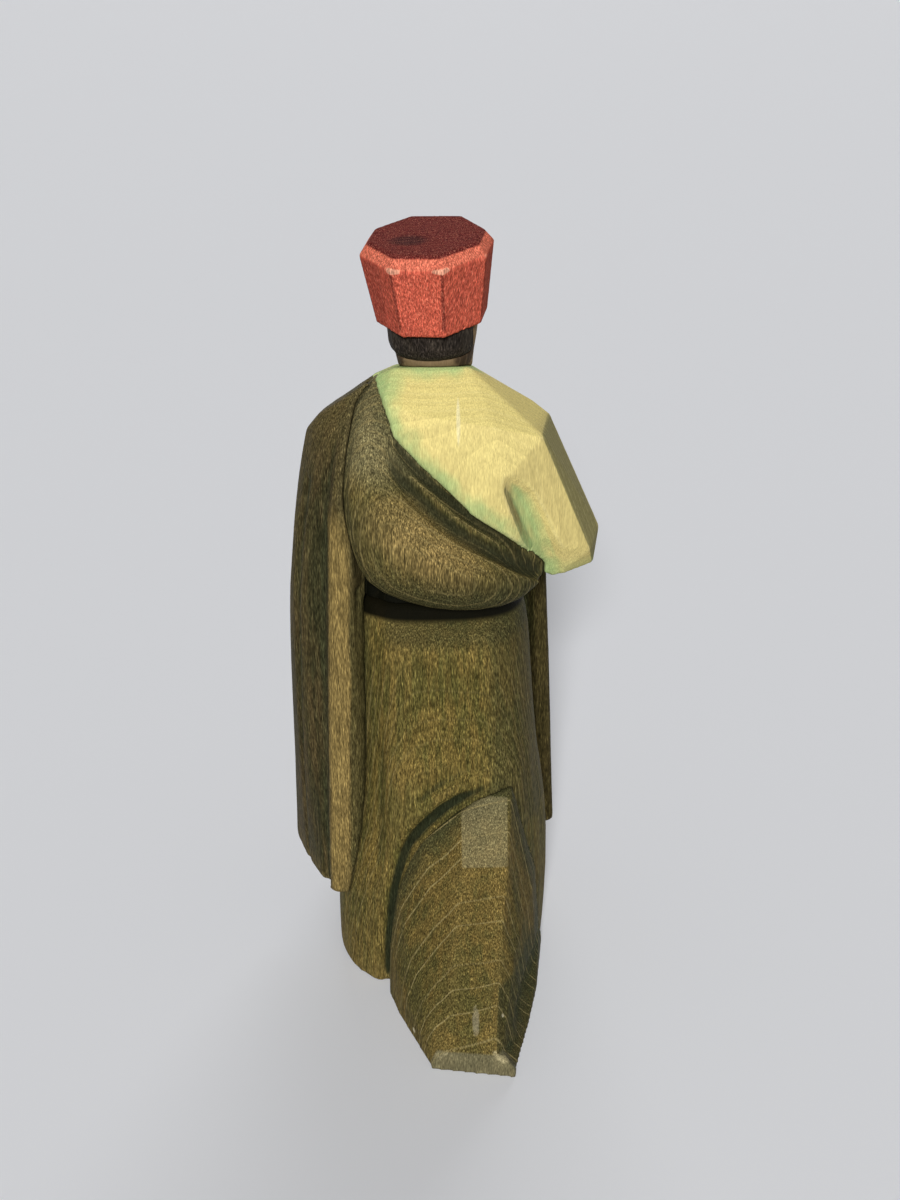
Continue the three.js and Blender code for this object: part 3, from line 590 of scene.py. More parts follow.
@dataclass(frozen=True)
class Stain:
    """One stain on the wood: its tones, and how far grain, hollows and wear show.

    Pairs are where a tone begins and where it is full: of noise, or of relief in millimetres. POOLED,
    WIPED and CHAFED are the share that is even, and the share that follows the wood.
    """

    FIBRE_SHARE, PORE_SHARE = 0.45, 0.6
    MOTTLED, SPARK = (0.38, 0.6), (0.56, 0.74)
    HOLLOW, NOTCH = (-0.03, -0.24), (-0.012, -0.05)
    SWELL, RIDGE, ARRIS = (0.15, 1.1), (0.1, 0.5), (0.024, 0.085)
    POOLED, WIPED, CHAFED = (0.6, 0.4), (0.4, 1.2), (0.25, 1.1)
    RING_SHOWN, RING_BROKEN, RING_FADE = 0.62, 4.0, 8.0
    SEASON_TONE = 0.12
    GLUE_CORE = 0.15
    GRAIN_GLOSS, LINE_GLOSS = 0.3, 0.06
    GRAIN_RISE, LINE_RISE, STREAK_RISE = 2.0, 0.3, 0.5

    slot: str
    body: Colour
    second: Colour
    ridge: Colour
    pool: Colour
    joint: Colour
    worn: Colour
    ring: Colour
    fleck: float = 6.4
    painted_glint: float = 0.0
    ring_strength: float = 0.85
    ring_top: float = FAR
    pool_strength: float = 0.85
    joint_reach: float = 0.34
    joint_strength: float = 0.6
    worn_strength: float = 0.4
    ridge_strength: float = 0.6
    gloss: float = 0.05
    roughness: float = 0.6
    bump: float = 0.04
    carved: bool = True

    def material(
        self, piece: str, washes: Sequence[Wash] = (), home: Optional[Matrix] = None
    ) -> bpy.types.Material:
        """Makes the stained wood of one piece.

        Args:
            piece: The piece's name.
            washes: Colours laid over the stain: paint, painted shade and painted light.
            home: The frame that the washes are placed in; the part's own by default.

        Returns:
            The material.
        """
        made = bpy.data.materials.new(f"{self.slot}_{piece}")
        graph = empty_graph(made)
        surface = Surface(graph, TIMBER, home or Matrix.Identity(4))
        fibres = surface.noise(TIMBER.fibre_width, TIMBER.fibre_length, shift=1.0)
        pores = surface.noise(TIMBER.pore_width, TIMBER.pore_length, detail=1.0, shift=5.0)
        streaks = surface.noise(TIMBER.streak_width, TIMBER.streak_length, shift=2.0)
        cloud = surface.noise(TIMBER.cloud_width, TIMBER.cloud_length, shift=3.0)
        line, season = surface.growth()
        grain = (fibres - 0.5) * self.FIBRE_SHARE + (pores - 0.5) * self.PORE_SHARE

        colour = graph.blend(self.body, self.second, (cloud * 0.5 + streaks * 0.5).rise(*self.MOTTLED))
        pooled: Term = 0.0
        if self.carved:
            colour = self._rubbed(graph, surface, colour, streaks, pores)
            pooled = surface.relief.rise(*self.HOLLOW).at_least(surface.edge.rise(*self.NOTCH))
            evenly, along = self.POOLED
            pooled = pooled * (evenly + along * streaks) * self.pool_strength
            colour = graph.blend(colour, self.pool, pooled)
        bare: Term = 1.0
        for wash in washes:
            cover = wash.mask(surface) * wash.strength
            colour = graph.blend(colour, wash.colour, cover)
            if wash.calm:
                bare = bare * (1.0 - cover * wash.calm)
        flecks = (self.fleck * grain * bare).exponent()
        colour = graph.scaled(colour, flecks * (1.0 - self.SEASON_TONE * (season - 0.5)))
        # Painted glints: pale flecks on the pores stand for light glancing off the wood's fibres.
        if self.painted_glint:
            colour = graph.blend(colour, self.worn, pores.rise(*self.SPARK) * self.painted_glint)
        broken = (self.RING_SHOWN + self.RING_BROKEN * grain).at_most(1.0).at_least(0.0)
        below = surface.z.rise(self.ring_top, self.ring_top - self.RING_FADE)
        shown = line * bare * broken * below * self.ring_strength
        colour = graph.blend(colour, self.ring, shown * (1.0 - pooled))
        if self.carved:
            glue = surface.seam.rise(self.joint_reach, self.GLUE_CORE) * self.joint_strength
            colour = graph.blend(colour, self.joint, glue)

        rough = self.roughness - self.GRAIN_GLOSS * grain - self.LINE_GLOSS * line
        height = grain * self.GRAIN_RISE + line * self.LINE_RISE + streaks * self.STREAK_RISE
        bump = graph.node("ShaderNodeBump", None, {
            "Strength": 1.0, "Distance": self.bump * MM, "Height": height})
        shader = graph.node("ShaderNodeBsdfPrincipled", None, {
            "Base Color": colour,
            "Roughness": rough,
            "Normal": bump["Normal"],
            "Specular IOR Level": self.gloss,
        })
        graph.node("ShaderNodeOutputMaterial", None, {"Surface": shader["BSDF"]})
        return made

    def _rubbed(self, graph: Graph, surface: Surface, colour: Wire, streaks: Wire, pores: Wire) -> Wire:
        """Wears the stain.

        Args:
            graph: The material's graph.
            surface: What the material knows of its place.
            colour: The stain so far.
            streaks: Noise that a wiping cloth follows.
            pores: Noise that the bare edges follow.

        Returns:
            The stain, lighter where the carving stands out, and bare on the sharp edges.
        """
        standing = surface.sweep.rise(*self.SWELL).at_least(surface.relief.rise(*self.RIDGE))
        evenly, along = self.WIPED
        wiped = (evenly + along * streaks).at_most(1.0)
        colour = graph.blend(colour, self.ridge, standing * wiped * self.ridge_strength)
        evenly, along = self.CHAFED
        edges = surface.edge.rise(*self.ARRIS) * (evenly + along * pores).at_most(1.0)
        return graph.blend(colour, self.worn, edges * self.worn_strength)


TIMBER = Timber()
SHADE: Colour = (0.040, 0.041, 0.018)
# A near-black painted shadow, laid where the sling overhangs the robe and on the wall beside it.
GAP_SHADOW: Colour = (0.003, 0.003, 0.002)

OLIVE = Stain(
    "olive_stain", body=(0.148, 0.105, 0.029), second=(0.086, 0.075, 0.021), ridge=(0.27, 0.185, 0.060),
    pool=(0.034, 0.036, 0.016), joint=(0.014, 0.014, 0.008), worn=(0.34, 0.25, 0.10),
    ring=(0.31, 0.245, 0.10),
)
MANTLE_OLIVE = replace(
    OLIVE, body=(0.122, 0.092, 0.029), second=(0.074, 0.067, 0.023), ridge_strength=0.15, worn_strength=0.2,
)
ROBE_OLIVE = replace(OLIVE, ridge_strength=0.25, worn_strength=0.1, ring_strength=0.55, ring_top=64.0)
TRAIN_OLIVE = replace(
    ROBE_OLIVE, body=(0.128, 0.090, 0.026), second=(0.076, 0.065, 0.020), ridge=(0.22, 0.152, 0.050),
    ring=(0.35, 0.28, 0.12), ring_strength=1.15, ring_top=FAR,
)
# The cloak's olive, darker than the robe's: partly its own stain, partly painted shade on the flutes that
# turn from the light.
CLOAK_OLIVE_SHADED = replace(
    OLIVE, body=(0.068, 0.050, 0.021), second=(0.035, 0.033, 0.014), ridge=(0.115, 0.086, 0.032),
    worn=(0.20, 0.155, 0.07), ring=(0.16, 0.125, 0.055), ring_strength=0.35,
)
# The fall's olive, darker again: painted shade on the end of the mantle that hangs deep behind the robe.
FALL_OLIVE_SHADED = replace(
    CLOAK_OLIVE_SHADED, body=(0.046, 0.036, 0.013), second=(0.028, 0.026, 0.009), ridge=(0.064, 0.048, 0.017),
    worn=(0.11, 0.085, 0.035),
)
YELLOW = Stain(
    "yellow_stain", body=(0.83, 0.69, 0.265), second=(0.77, 0.635, 0.245), ridge=(0.85, 0.71, 0.28),
    pool=(0.36, 0.46, 0.17), joint=(0.16, 0.20, 0.08), worn=(0.90, 0.82, 0.46), ring=(0.88, 0.78, 0.38),
    fleck=1.3, ring_strength=0.2, pool_strength=0.55, worn_strength=0.4, ridge_strength=0.0, bump=0.02,
)
# The cap's red paint, with flecks of painted glint.
RED = Stain(
    "red_stain", body=(0.66, 0.126, 0.075), second=(0.58, 0.108, 0.068), ridge=(0.56, 0.105, 0.06),
    pool=(0.085, 0.018, 0.016), joint=(0.014, 0.006, 0.006), worn=(0.80, 0.36, 0.22),
    ring=(0.60, 0.16, 0.10), fleck=4.8, painted_glint=0.45, ring_strength=0.15, pool_strength=0.6,
    worn_strength=0.0, ridge_strength=0.0, gloss=0.03, roughness=0.7,
)
BLACK = Stain(
    "black_stain", body=(0.020, 0.016, 0.014), second=(0.032, 0.026, 0.020), ridge=(0.05, 0.04, 0.03),
    pool=(0.008, 0.007, 0.006), joint=(0.004, 0.004, 0.003), worn=(0.16, 0.12, 0.075),
    ring=(0.06, 0.045, 0.03), fleck=7.0, ring_strength=0.3, pool_strength=0.6, worn_strength=0.4,
    ridge_strength=0.2,
)
SKIN = Stain(
    "skin_stain", body=(0.36, 0.245, 0.125), second=(0.31, 0.205, 0.105), ridge=(0.42, 0.29, 0.16),
    pool=(0.13, 0.078, 0.036), joint=(0.035, 0.022, 0.012), worn=(0.50, 0.37, 0.21),
    ring=(0.45, 0.32, 0.18), fleck=0.8, ring_strength=0.2, pool_strength=0.65, worn_strength=0.3,
    ridge_strength=0.3, bump=0.02,
)
OCHRE = Stain(
    "ochre_stain", body=(0.42, 0.27, 0.075), second=(0.35, 0.215, 0.058), ridge=(0.50, 0.33, 0.11),
    pool=(0.10, 0.058, 0.018), joint=(0.03, 0.018, 0.008), worn=(0.66, 0.48, 0.20),
    ring=(0.56, 0.40, 0.16), fleck=1.2, ring_strength=0.3, pool_strength=0.8, worn_strength=0.7,
    ridge_strength=0.4, roughness=0.45,
)
BARE = Stain(
    "bare_wood", body=(0.62, 0.46, 0.27), second=(0.56, 0.41, 0.235), ridge=(0.66, 0.50, 0.30),
    pool=(0.3, 0.2, 0.1), joint=(0.2, 0.14, 0.08), worn=(0.7, 0.55, 0.35), ring=(0.50, 0.35, 0.19),
    fleck=0.8, ring_strength=0.4, roughness=0.65, carved=False,
)


@dataclass
class Block:
    """One block to carve: the node it stands for, and how fine its skin is, in millimetres."""

    node: str
    cut: Cut
    voxel: float
    around: Tuple[str, ...]
    softness: int = 4
    seed: float = 0.0
    worn_steps: int = 0
    worn_from: float = 0.0

    @property
    def piece(self) -> str:
        """The name of the carved piece."""
        return f"{CARVED}{self.node}"


class Carver:
    """Cuts the worn, hand-carved skin of a block, in one tree of geometry nodes."""

    CHIP_POINTS = 200.0
    STROKE_LEVEL = 0.25
    SEAM_FILL = 0.16 * MM
    EDGE_STEPS = 4
    RELIEF_REACH = 2.6
    SWEEP_REACH = 6.5
    WORN_FADE = 6.0 * MM
    SETTINGS = {
        "DeleteGeometry": {"domain": "POINT"},
        "StoreNamedAttribute": {"data_type": "FLOAT", "domain": "POINT"},
    }

    def __init__(self) -> None:
        """Builds the tree once, for every block."""
        self.tree = bpy.data.node_groups.new("carved_block", "GeometryNodeTree")
        self.sockets: Dict[str, str] = {}
        self._declare("Geometry", "INPUT", "NodeSocketGeometry")
        for name, kind in {
            "Softness": "NodeSocketInt",
            "Worn Steps": "NodeSocketInt",
            "Worn From": "NodeSocketFloat",
            "Seam Fill": "NodeSocketFloat",
            "Stroke Width": "NodeSocketFloat",
            "Stroke Length": "NodeSocketFloat",
            "Stroke Depth": "NodeSocketFloat",
            "Relief Steps": "NodeSocketInt",
            "Sweep Steps": "NodeSocketInt",
            "Seed": "NodeSocketFloat",
            "Neighbours": "NodeSocketCollection",
            "Material": "NodeSocketMaterial",
        }.items():
            self._declare(name, "INPUT", kind)
        self._declare("Geometry", "OUTPUT", "NodeSocketGeometry")
        self._wire()

    def _declare(self, name: str, side: str, kind: str) -> None:
        """Adds a named input or output to the tree."""
        socket = self.tree.interface.new_socket(name=name, in_out=side, socket_type=kind)
        if side == "INPUT":
            self.sockets[name] = socket.identifier

    def _wire(self) -> None:
        """Adds the nodes: drop chips, soften, wear, cut strokes, stand, then note relief and joints."""
        graph = Graph(self.tree)
        given = graph.node("NodeGroupInput")
        place = graph.node("GeometryNodeInputPosition")["Position"]
        normal = graph.node("GeometryNodeInputNormal")["Normal"]
        split = graph.node("ShaderNodeSeparateXYZ", None, {"Vector": place})

        def step(kind: str, mesh: Wire, **sockets: object) -> Wire:
            """Takes a mesh through one geometry node."""
            values = {"Geometry": mesh, **sockets}
            return graph.node(f"GeometryNode{kind}", self.SETTINGS.get(kind), values)["Geometry"]

        def blurred(steps: Term, weight: Term = 1.0) -> Wire:
            """The place of a point, averaged over its neighbours."""
            return graph.node("GeometryNodeBlurAttribute", {"data_type": "FLOAT_VECTOR"}, {
                "Value": place, "Iterations": steps, "Weight": weight})["Value"]

        island = graph.node("GeometryNodeInputMeshIsland")["Island Index"]
        points = graph.node("GeometryNodeAccumulateField", {"domain": "POINT"}, {
            "Value": 1.0, "Group ID": island})["Total"]
        chip = graph.node("FunctionNodeCompare", {"operation": "LESS_THAN"}, {
            "A": points, "B": self.CHIP_POINTS})["Result"]
        block = step("DeleteGeometry", given["Geometry"], Selection=chip)
        soft = step("SetPosition", block, Position=blurred(given["Softness"]))
        upper = ((split["Z"] - given["Worn From"]) / self.WORN_FADE).at_least(0.0).at_most(1.0)
        worn = step("SetPosition", soft, Position=blurred(given["Worn Steps"], upper))

        across, along = given["Stroke Width"], given["Stroke Length"]
        size = graph.node("ShaderNodeCombineXYZ", None, {"X": across, "Y": across, "Z": along})["Vector"]
        shift = graph.node("ShaderNodeCombineXYZ", None, {"X": given["Seed"], "Z": given["Seed"]})["Vector"]
        cells = graph.vector("ADD", graph.vector("DIVIDE", place, size), shift)
        gap = graph.node("ShaderNodeTexVoronoi", {"feature": "F1"}, {
            "Vector": cells, "Scale": 1.0})["Distance"]
        stroke = (gap * gap - self.STROKE_LEVEL) * given["Stroke Depth"]
        cut = step("SetPosition", worn, Offset=graph.scaled(normal, stroke + given["Seam Fill"]))

        above = graph.node("ShaderNodeCombineXYZ", None, {
            "X": split["X"], "Y": split["Y"], "Z": split["Z"].at_least(0.0)})["Vector"]
        standing = step("SetPosition", cut, Position=above)

        def height(steps: Term) -> Wire:
            """How far a point stands out from its surroundings, in millimetres."""
            away = graph.vector("SUBTRACT", place, blurred(steps))
            return graph.measure("DOT_PRODUCT", away, normal) / MM

        near = graph.node("GeometryNodeCollectionInfo", {"transform_space": "ORIGINAL"}, {
            "Collection": given["Neighbours"]})["Instances"]
        joint = graph.node("GeometryNodeProximity", {"target_element": "FACES"}, {
            "Geometry": step("RealizeInstances", near)})["Distance"]
        noted = standing
        for name, value in (
            ("relief", height(given["Relief Steps"])),
            ("sweep", height(given["Sweep Steps"])),
            ("edge", height(self.EDGE_STEPS)),
            ("seam", joint / MM),
        ):
            noted = step("StoreNamedAttribute", noted, Name=name, Value=value)
        dressed = step("SetMaterial", step("RealizeInstances", noted), Material=given["Material"])
        graph.node("NodeGroupOutput", None, {"Geometry": step("SetShadeSmooth", dressed)})

    def carve(self, block: Block, material: bpy.types.Material) -> bpy.types.Object:
        """Carves one block.

        Args:
            block: What to carve, and how.
            material: Its stained wood.

        Returns:
            The finished piece, a plain mesh at the origin.
        """
        rough = put(f"rough_{block.piece}", welded(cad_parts[block.node].data))
        skin = rough.modifiers.new("skin", "REMESH")
        skin.mode = "VOXEL"
        skin.voxel_size = block.voxel * MM
        skin.use_smooth_shade = True
        around = bpy.data.collections.new(f"around_{block.piece}")
        for name in block.around:
            around.objects.link(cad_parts[name])
        strokes = rough.modifiers.new("strokes", "NODES")
        strokes.node_group = self.tree
        for name, value in {
            "Softness": block.softness,
            "Worn Steps": block.worn_steps,
            "Worn From": block.worn_from * MM,
            "Seam Fill": self.SEAM_FILL,
            "Stroke Width": block.cut.width * MM,
            "Stroke Length": block.cut.length * MM,
            "Stroke Depth": block.cut.depth * MM,
            "Relief Steps": round((self.RELIEF_REACH / block.voxel) ** 2),
            "Sweep Steps": round((self.SWEEP_REACH / block.voxel) ** 2),
            "Seed": block.seed,
            "Neighbours": around,
            "Material": material,
        }.items():
            strokes[self.sockets[name]] = value
        bpy.context.view_layer.update()
        evaluated = rough.evaluated_get(bpy.context.evaluated_depsgraph_get())
        mesh = bpy.data.meshes.new_from_object(evaluated)
        mesh.name = block.piece
        bpy.data.objects.remove(rough)
        bpy.data.collections.remove(around)
        return put(block.piece, mesh)


def welded(mesh: bpy.types.Mesh) -> bpy.types.Mesh:
    """Copies a node's loose triangles into one joined skin.

    Args:
        mesh: The node's mesh, which stays as it is.

    Returns:
        The joined copy.
    """
    made = bpy.data.meshes.new(f"{mesh.name}_joined")
    shape = bmesh.new()
    shape.from_mesh(mesh)
    bmesh.ops.remove_doubles(shape, verts=shape.verts, dist=WELD)
    shape.to_mesh(made)
    shape.free()
    return made


@dataclass
class SubAssembly:
    """Some blocks that share a stain and a frame."""

    carver: Carver
    pieces: List[bpy.types.Object] = field(default_factory=list)

    def carve(
        self, block: Block, stain: Stain, washes: Sequence[Wash] = (), home: Optional[Matrix] = None
    ) -> None:
        """Carves a block, stains it, and puts it in the place of its node.

        Args:
            block: What to carve.
            stain: Its finish.
            washes: Colours laid over the stain: paint, painted shade and painted light.
            home: The frame that the washes are placed in.
        """
        piece = self.carver.carve(block, stain.material(block.piece, washes, home))
        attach(piece, BODY)
        self.pieces.append(piece)
        LOG.info("%s: %d faces, for %s", block.piece, len(piece.data.polygons), block.node)

    def settle(self) -> None:
        """Hides the nodes that the pieces stand for, once every block is carved."""
        for piece in self.pieces:
            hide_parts(piece.name.removeprefix(CARVED))


@dataclass
class Robe(SubAssembly):
    """The robe and the train over the trailing leg. Sizes in millimetres."""

    voxel: float = 0.40
    train_voxel: float = 0.28
    smooth_from: float = 45.0
    right_shade_from: float = 8.8
    right_shade_foot: float = 30.0
    left_shade_corner: Point = (-5.0, 0.0, 21.0)
    front: float = 6.0
    arch_stain_and_shade: Colour = (0.014, 0.018, 0.009)
    arch_low: Point = (-11.0, -FAR, -FAR)
    arch_high: Point = (13.0, -12.0, 43.0)
    cove_shade_left: float = -7.4
    cove_shade_foot: float = 64.8
    gap_shadow_foot: float = 68.3
    moss_stain_and_shade: Colour = (0.030, 0.036, 0.016)
    arch_reach: float = 4.2
    painted_sheen: Colour = (0.24, 0.205, 0.105)
    painted_sheen_low: Point = (4.0, -FAR, 30.2)
    painted_sheen_high: Point = (11.4, -15.3, 39.8)
    flank_shade_low: Point = (9.0, -FAR, -FAR)
    flank_shade_high: Point = (FAR, -7.0, 13.0)
    tip_light: Colour = (0.165, 0.148, 0.083)
    tip_edge: Colour = (0.42, 0.36, 0.20)
    tip_back: float = -33.9
    tip_top: float = 3.5
    tip_edge_foot: float = 2.4
    chip: Colour = (0.45, 0.40, 0.27)
    chips: Tuple[Point, ...] = ((-4.2, -27.7, 1.7), (10.4, -31.9, 8.5))
    chip_size: Point = (0.35, 0.6, 0.45)
    scrape: Point = (5.9, -32.4, 8.0)
    scrape_size: Point = (0.55, 2.4, 2.2)

    def build(self) -> None:
        """Carves both blocks."""
        robe = Block(
            "robe", Cut.GOUGED, self.voxel, ("train", "mantle", "cloak", "mantle_fall"), softness=10,
            worn_steps=40, worn_from=self.smooth_from,
        )
        train = Block("train", Cut.FACETED, self.train_voxel, ("robe",), softness=2, seed=3.0)
        self.carve(robe, ROBE_OLIVE, self.robe_paint())
        self.carve(train, TRAIN_OLIVE, self.train_paint())

    def robe_paint(self) -> Tuple[Wash, ...]:
        """Painted shade on both sides, along the joints and in the cove under the sling, dark stain and
        painted shade in the arch, and a painted shadow in the gap under it.
        """
        top = (FAR, self.front, FAR)
        # Painted shade on the right side, on the lower left, along the joints and in the cove under the
        # sling.
        right = PatchWash(SHADE, 0.5, (self.right_shade_from, -FAR, self.right_shade_foot), top, soft=1.5)
        left = PatchWash(SHADE, 0.15, (-FAR, -FAR, 0.0), self.left_shade_corner, soft=2.0)
        joints = SeamWash(SHADE, 0.28, reach=2.4, ragged=1.2)
        # Dark stain and painted shade in the groove of the arch over the train.
        arch = ReliefWash(
            self.arch_stain_and_shade, 0.85, self.arch_low, self.arch_high, start=0.04, full=-0.16, from_joint=3.4,
            calm=0.5,
        )
        cove = PatchWash(SHADE, 0.6, (self.cove_shade_left, -FAR, self.cove_shade_foot), top, soft=1.4)
        # A painted shadow, near black, where the sling overhangs the robe.
        gap = PatchWash(GAP_SHADOW, 0.97, (-FAR, -FAR, self.gap_shadow_foot), top, soft=0.5, calm=1.0)
        return right, left, joints, arch, cove, gap

    def train_paint(self) -> Tuple[Wash, ...]:
        """A painted sheen on its ridge, painted shade on the flank and along the joint, painted light on
        the tip with its edge, and small chips.
        """
        # Stain with painted shade along the joint under the arch.
        joint = SeamWash(self.moss_stain_and_shade, 0.75, self.arch_reach, ragged=0.8)
        lip = SeamWash(self.moss_stain_and_shade, 0.4, reach=1.1, ragged=0.3, calm=0.9)
        # A painted sheen: the reflection of a light on the flat facet at the top of the ridge.
        painted_sheen = PatchWash(self.painted_sheen, 0.5, self.painted_sheen_low, self.painted_sheen_high, soft=0.15, calm=0.4)
        # Painted shade on the flank facets that turn to the right.
        flank = FacetWash(self.moss_stain_and_shade, 0.65, self.flank_shade_low, self.flank_shade_high, TO_RIGHT, start=0.35, full=0.5)
        tip_high = (FAR, self.tip_back, self.tip_top)
        # Painted light: the end face of the tip paler and greyer than the ridge.
        tip_light = PatchWash(self.tip_light, 0.8, BELOW_ALL, tip_high, soft=0.25, calm=0.6)
        edge_low, edge_high = (-FAR, -FAR, self.tip_edge_foot), (FAR, self.tip_back, self.tip_top + 0.5)
        edge = EdgeWash(self.tip_edge, 0.7, edge_low, edge_high, start=0.012, full=0.04)
        scrape = SpotWash(self.chip, 0.3, self.scrape, self.scrape_size, soft=0.5, ragged=0.3, calm=2.0)
        chips = [SpotWash(self.chip, 0.8, at, self.chip_size, soft=0.4, ragged=0.3) for at in self.chips]
        return joint, lip, painted_sheen, flank, tip_light, edge, scrape, *chips


@dataclass
class Cloth(SubAssembly):
    """The mantle, the cloak that hangs from it and its other end over the right arm. In millimetres."""

    mantle_voxel: float = 0.28
    cloak_voxel: float = 0.32
    fall_voxel: float = 0.3
    belly_highlight: Colour = (0.26, 0.18, 0.066)
    crest: Tuple[Point, ...] = ((-5.2, -14.8, 87.0), (-1.6, -15.5, 83.4), (2.6, -15.6, 80.4))
    highlight_size: Point = (5.0, 5.0, 4.0)
    left_shade_edge: float = -7.5
    left_shade_top: float = 90.0
    belly_shade_top: float = 77.5
    strap_grey: Colour = (0.20, 0.175, 0.088)
    strap_from: float = 93.0
    strap_front: float = 4.0
    fold_stain_and_shade: Colour = (0.020, 0.021, 0.011)
    groove_low: Point = (-6.0, -FAR, 73.0)
    groove_high: Point = (20.0, -4.0, 99.0)
    folds_reach: float = 4.3
    wall_shadow_low: Point = (-14.0, -11.2, 70.0)
    wall_shadow_high: Point = (-3.0, 0.0, 75.6)
    tan: Colour = (0.27, 0.190, 0.064)
    strip_foot: Point = (-17.0, -4.0, 14.0)
    strip_top: float = 86.0
    strip_lean: float = 0.0415
    strip_half: float = 1.7
    inner: Colour = (0.11, 0.094, 0.034)
    inner_foot: Point = (-13.4, -4.0, 14.0)
    inner_top: float = 74.0

    def build(self) -> None:
        """Carves the three blocks."""
        mantle = Block("mantle", Cut.GOUGED, self.mantle_voxel, ("tunic", "robe", "cloak"), seed=5.0)
        cloak = Block(
            "cloak", Cut.GOUGED, self.cloak_voxel, ("robe", "mantle", "tunic"), softness=5, seed=7.0)
        fall = Block("mantle_fall", Cut.GOUGED, self.fall_voxel, ("robe", "right_sleeve"), seed=9.0)
        self.carve(mantle, MANTLE_OLIVE, self.mantle_paint())
        self.carve(cloak, CLOAK_OLIVE_SHADED, self.cloak_paint())
        # Painted shade along the fall's joints.
        self.carve(fall, FALL_OLIVE_SHADED, (SeamWash(SHADE, 0.6, reach=2.0, ragged=1.2),))

    def mantle_paint(self) -> Tuple[Wash, ...]:
        """Painted highlights on the belly, the greyer strap, painted shade on the left, underneath and
        along the joints, stain and painted shade in the folds, and a painted shadow on the wall below.
        """
        # Painted highlights: warm spots where the belly bulges toward the light.
        crest = [SpotWash(self.belly_highlight, 0.45, at, self.highlight_size, soft=0.8) for at in self.crest]
        # Painted shade on the left of the belly.
        left = PatchWash(SHADE, 0.28, BELOW_ALL, (self.left_shade_edge, 0.0, self.left_shade_top), soft=3.0)
        over = (FAR, self.strap_front, FAR)
        strap = PatchWash(self.strap_grey, 0.6, (-FAR, -FAR, self.strap_from), over, soft=3.0)
        # Painted shade under the belly and along the joints.
        under = PatchWash(SHADE, 0.8, BELOW_ALL, (FAR, 0.0, self.belly_shade_top), soft=4.0)
        joints = SeamWash(SHADE, 0.45, reach=3.6, ragged=1.4)
        # Dark stain and painted shade in the folds of the sling.
        folds = ReliefWash(
            self.fold_stain_and_shade, 0.64, self.groove_low, self.groove_high, start=0.18, full=-0.06,
            from_joint=self.folds_reach, calm=0.7,
        )
        # A painted shadow, near black, on the wall beside the gap under the sling.
        wall = PatchWash(GAP_SHADOW, 0.97, self.wall_shadow_low, self.wall_shadow_high, soft=0.4, calm=1.0)
        return *crest, left, strap, under, joints, folds, wall

    def cloak_paint(self) -> Tuple[Wash, ...]:
        """The dull strip on the inside, the light one beside it, and painted shade along the joints."""
        lean, half = self.strip_lean, self.strip_half
        inner = StripWash(self.inner, 0.58, self.inner_foot, self.inner_top, lean, half)
        strip = StripWash(self.tan, 0.75, self.strip_foot, self.strip_top, lean, half, calm=0.25)
        # Painted shade along the joints.
        return inner, strip, SeamWash(SHADE, 0.4, reach=2.4, ragged=1.2)


@dataclass
class Tunic(SubAssembly):
    """The tunic and both sleeves. Sizes in millimetres."""

    voxel: float = 0.26
    yoke: Colour = (0.66, 0.56, 0.20)
    yoke_from: float = 97.0
    shaded: Colour = (0.60, 0.48, 0.19)
    outer_facet_shade: Colour = (0.20, 0.185, 0.08)
    facets_high: Point = (FAR, 0.0, 99.0)
    mint: Colour = (0.36, 0.52, 0.21)
    hollow_low: Point = (9.0, -FAR, 74.0)
    hollow_high: Point = (22.0, -4.0, 97.0)
    corner: Point = (-6.5, -6.0, 105.8)
    corner_size: Point = (3.0, 4.0, 3.0)
    underarm: float = 76.0
    scratch: Colour = (0.93, 0.88, 0.60)
    scratch_at: Point = (4.1, -10.8, 101.0)
    scratch_size: Point = (0.28, 4.0, 3.2)

    def build(self) -> None:
        """Carves the tunic, then the sleeves."""
        tunic = Block("tunic", Cut.FACETED, self.voxel, ("mantle", "head"), softness=2, seed=11.0)
        self.carve(tunic, YELLOW, self.tunic_paint())
        beside = {"right": ("right_hand", "tunic", "mantle"), "left": ("left_hand", "cloak", "mantle")}
        for side, around in beside.items():
            sleeve = Block(f"{side}_sleeve", Cut.FACETED, self.voxel, around, softness=3, seed=13.0)
            self.carve(sleeve, YELLOW, (SeamWash(self.mint, 0.6, reach=1.6, ragged=1.2),))

    def tunic_paint(self) -> Tuple[Wash, ...]:
        """Painted shade on the facets turned right, a darker tint on the yoke, green along the mantle, by
        the arm and below, and a scratch on the back.
        """
        high = self.facets_high
        above, crest = (-FAR, -FAR, self.yoke_from), (FAR, 0.0, FAR)
        yoke = FacetWash(self.yoke, 0.6, above, crest, UPWARD, start=0.34, full=0.48)
        # Painted shade on the facets turned to the right, darkest on the outermost.
        right_facet = FacetWash(self.shaded, 0.35, BELOW_ALL, high, TO_RIGHT, start=0.36, full=0.45)
        outer_facet = FacetWash(self.outer_facet_shade, 0.85, BELOW_ALL, high, TO_RIGHT, start=0.6, full=0.7)
        along_seam = SeamWash(self.mint, 0.78, reach=3.4, ragged=1.6)
        in_hollow = ReliefWash(self.mint, 0.8, self.hollow_low, self.hollow_high, start=-0.02, full=-0.35)
        at_corner = SpotWash(self.mint, 0.5, self.corner, self.corner_size, soft=0.7)
        below = PatchWash(self.mint, 0.35, *layer(-FAR, self.underarm), soft=1.5)
        scratch = SpotWash(self.scratch, 0.42, self.scratch_at, self.scratch_size, soft=0.5)
        return yoke, right_facet, outer_facet, along_seam, in_hollow, at_corner, below, scratch


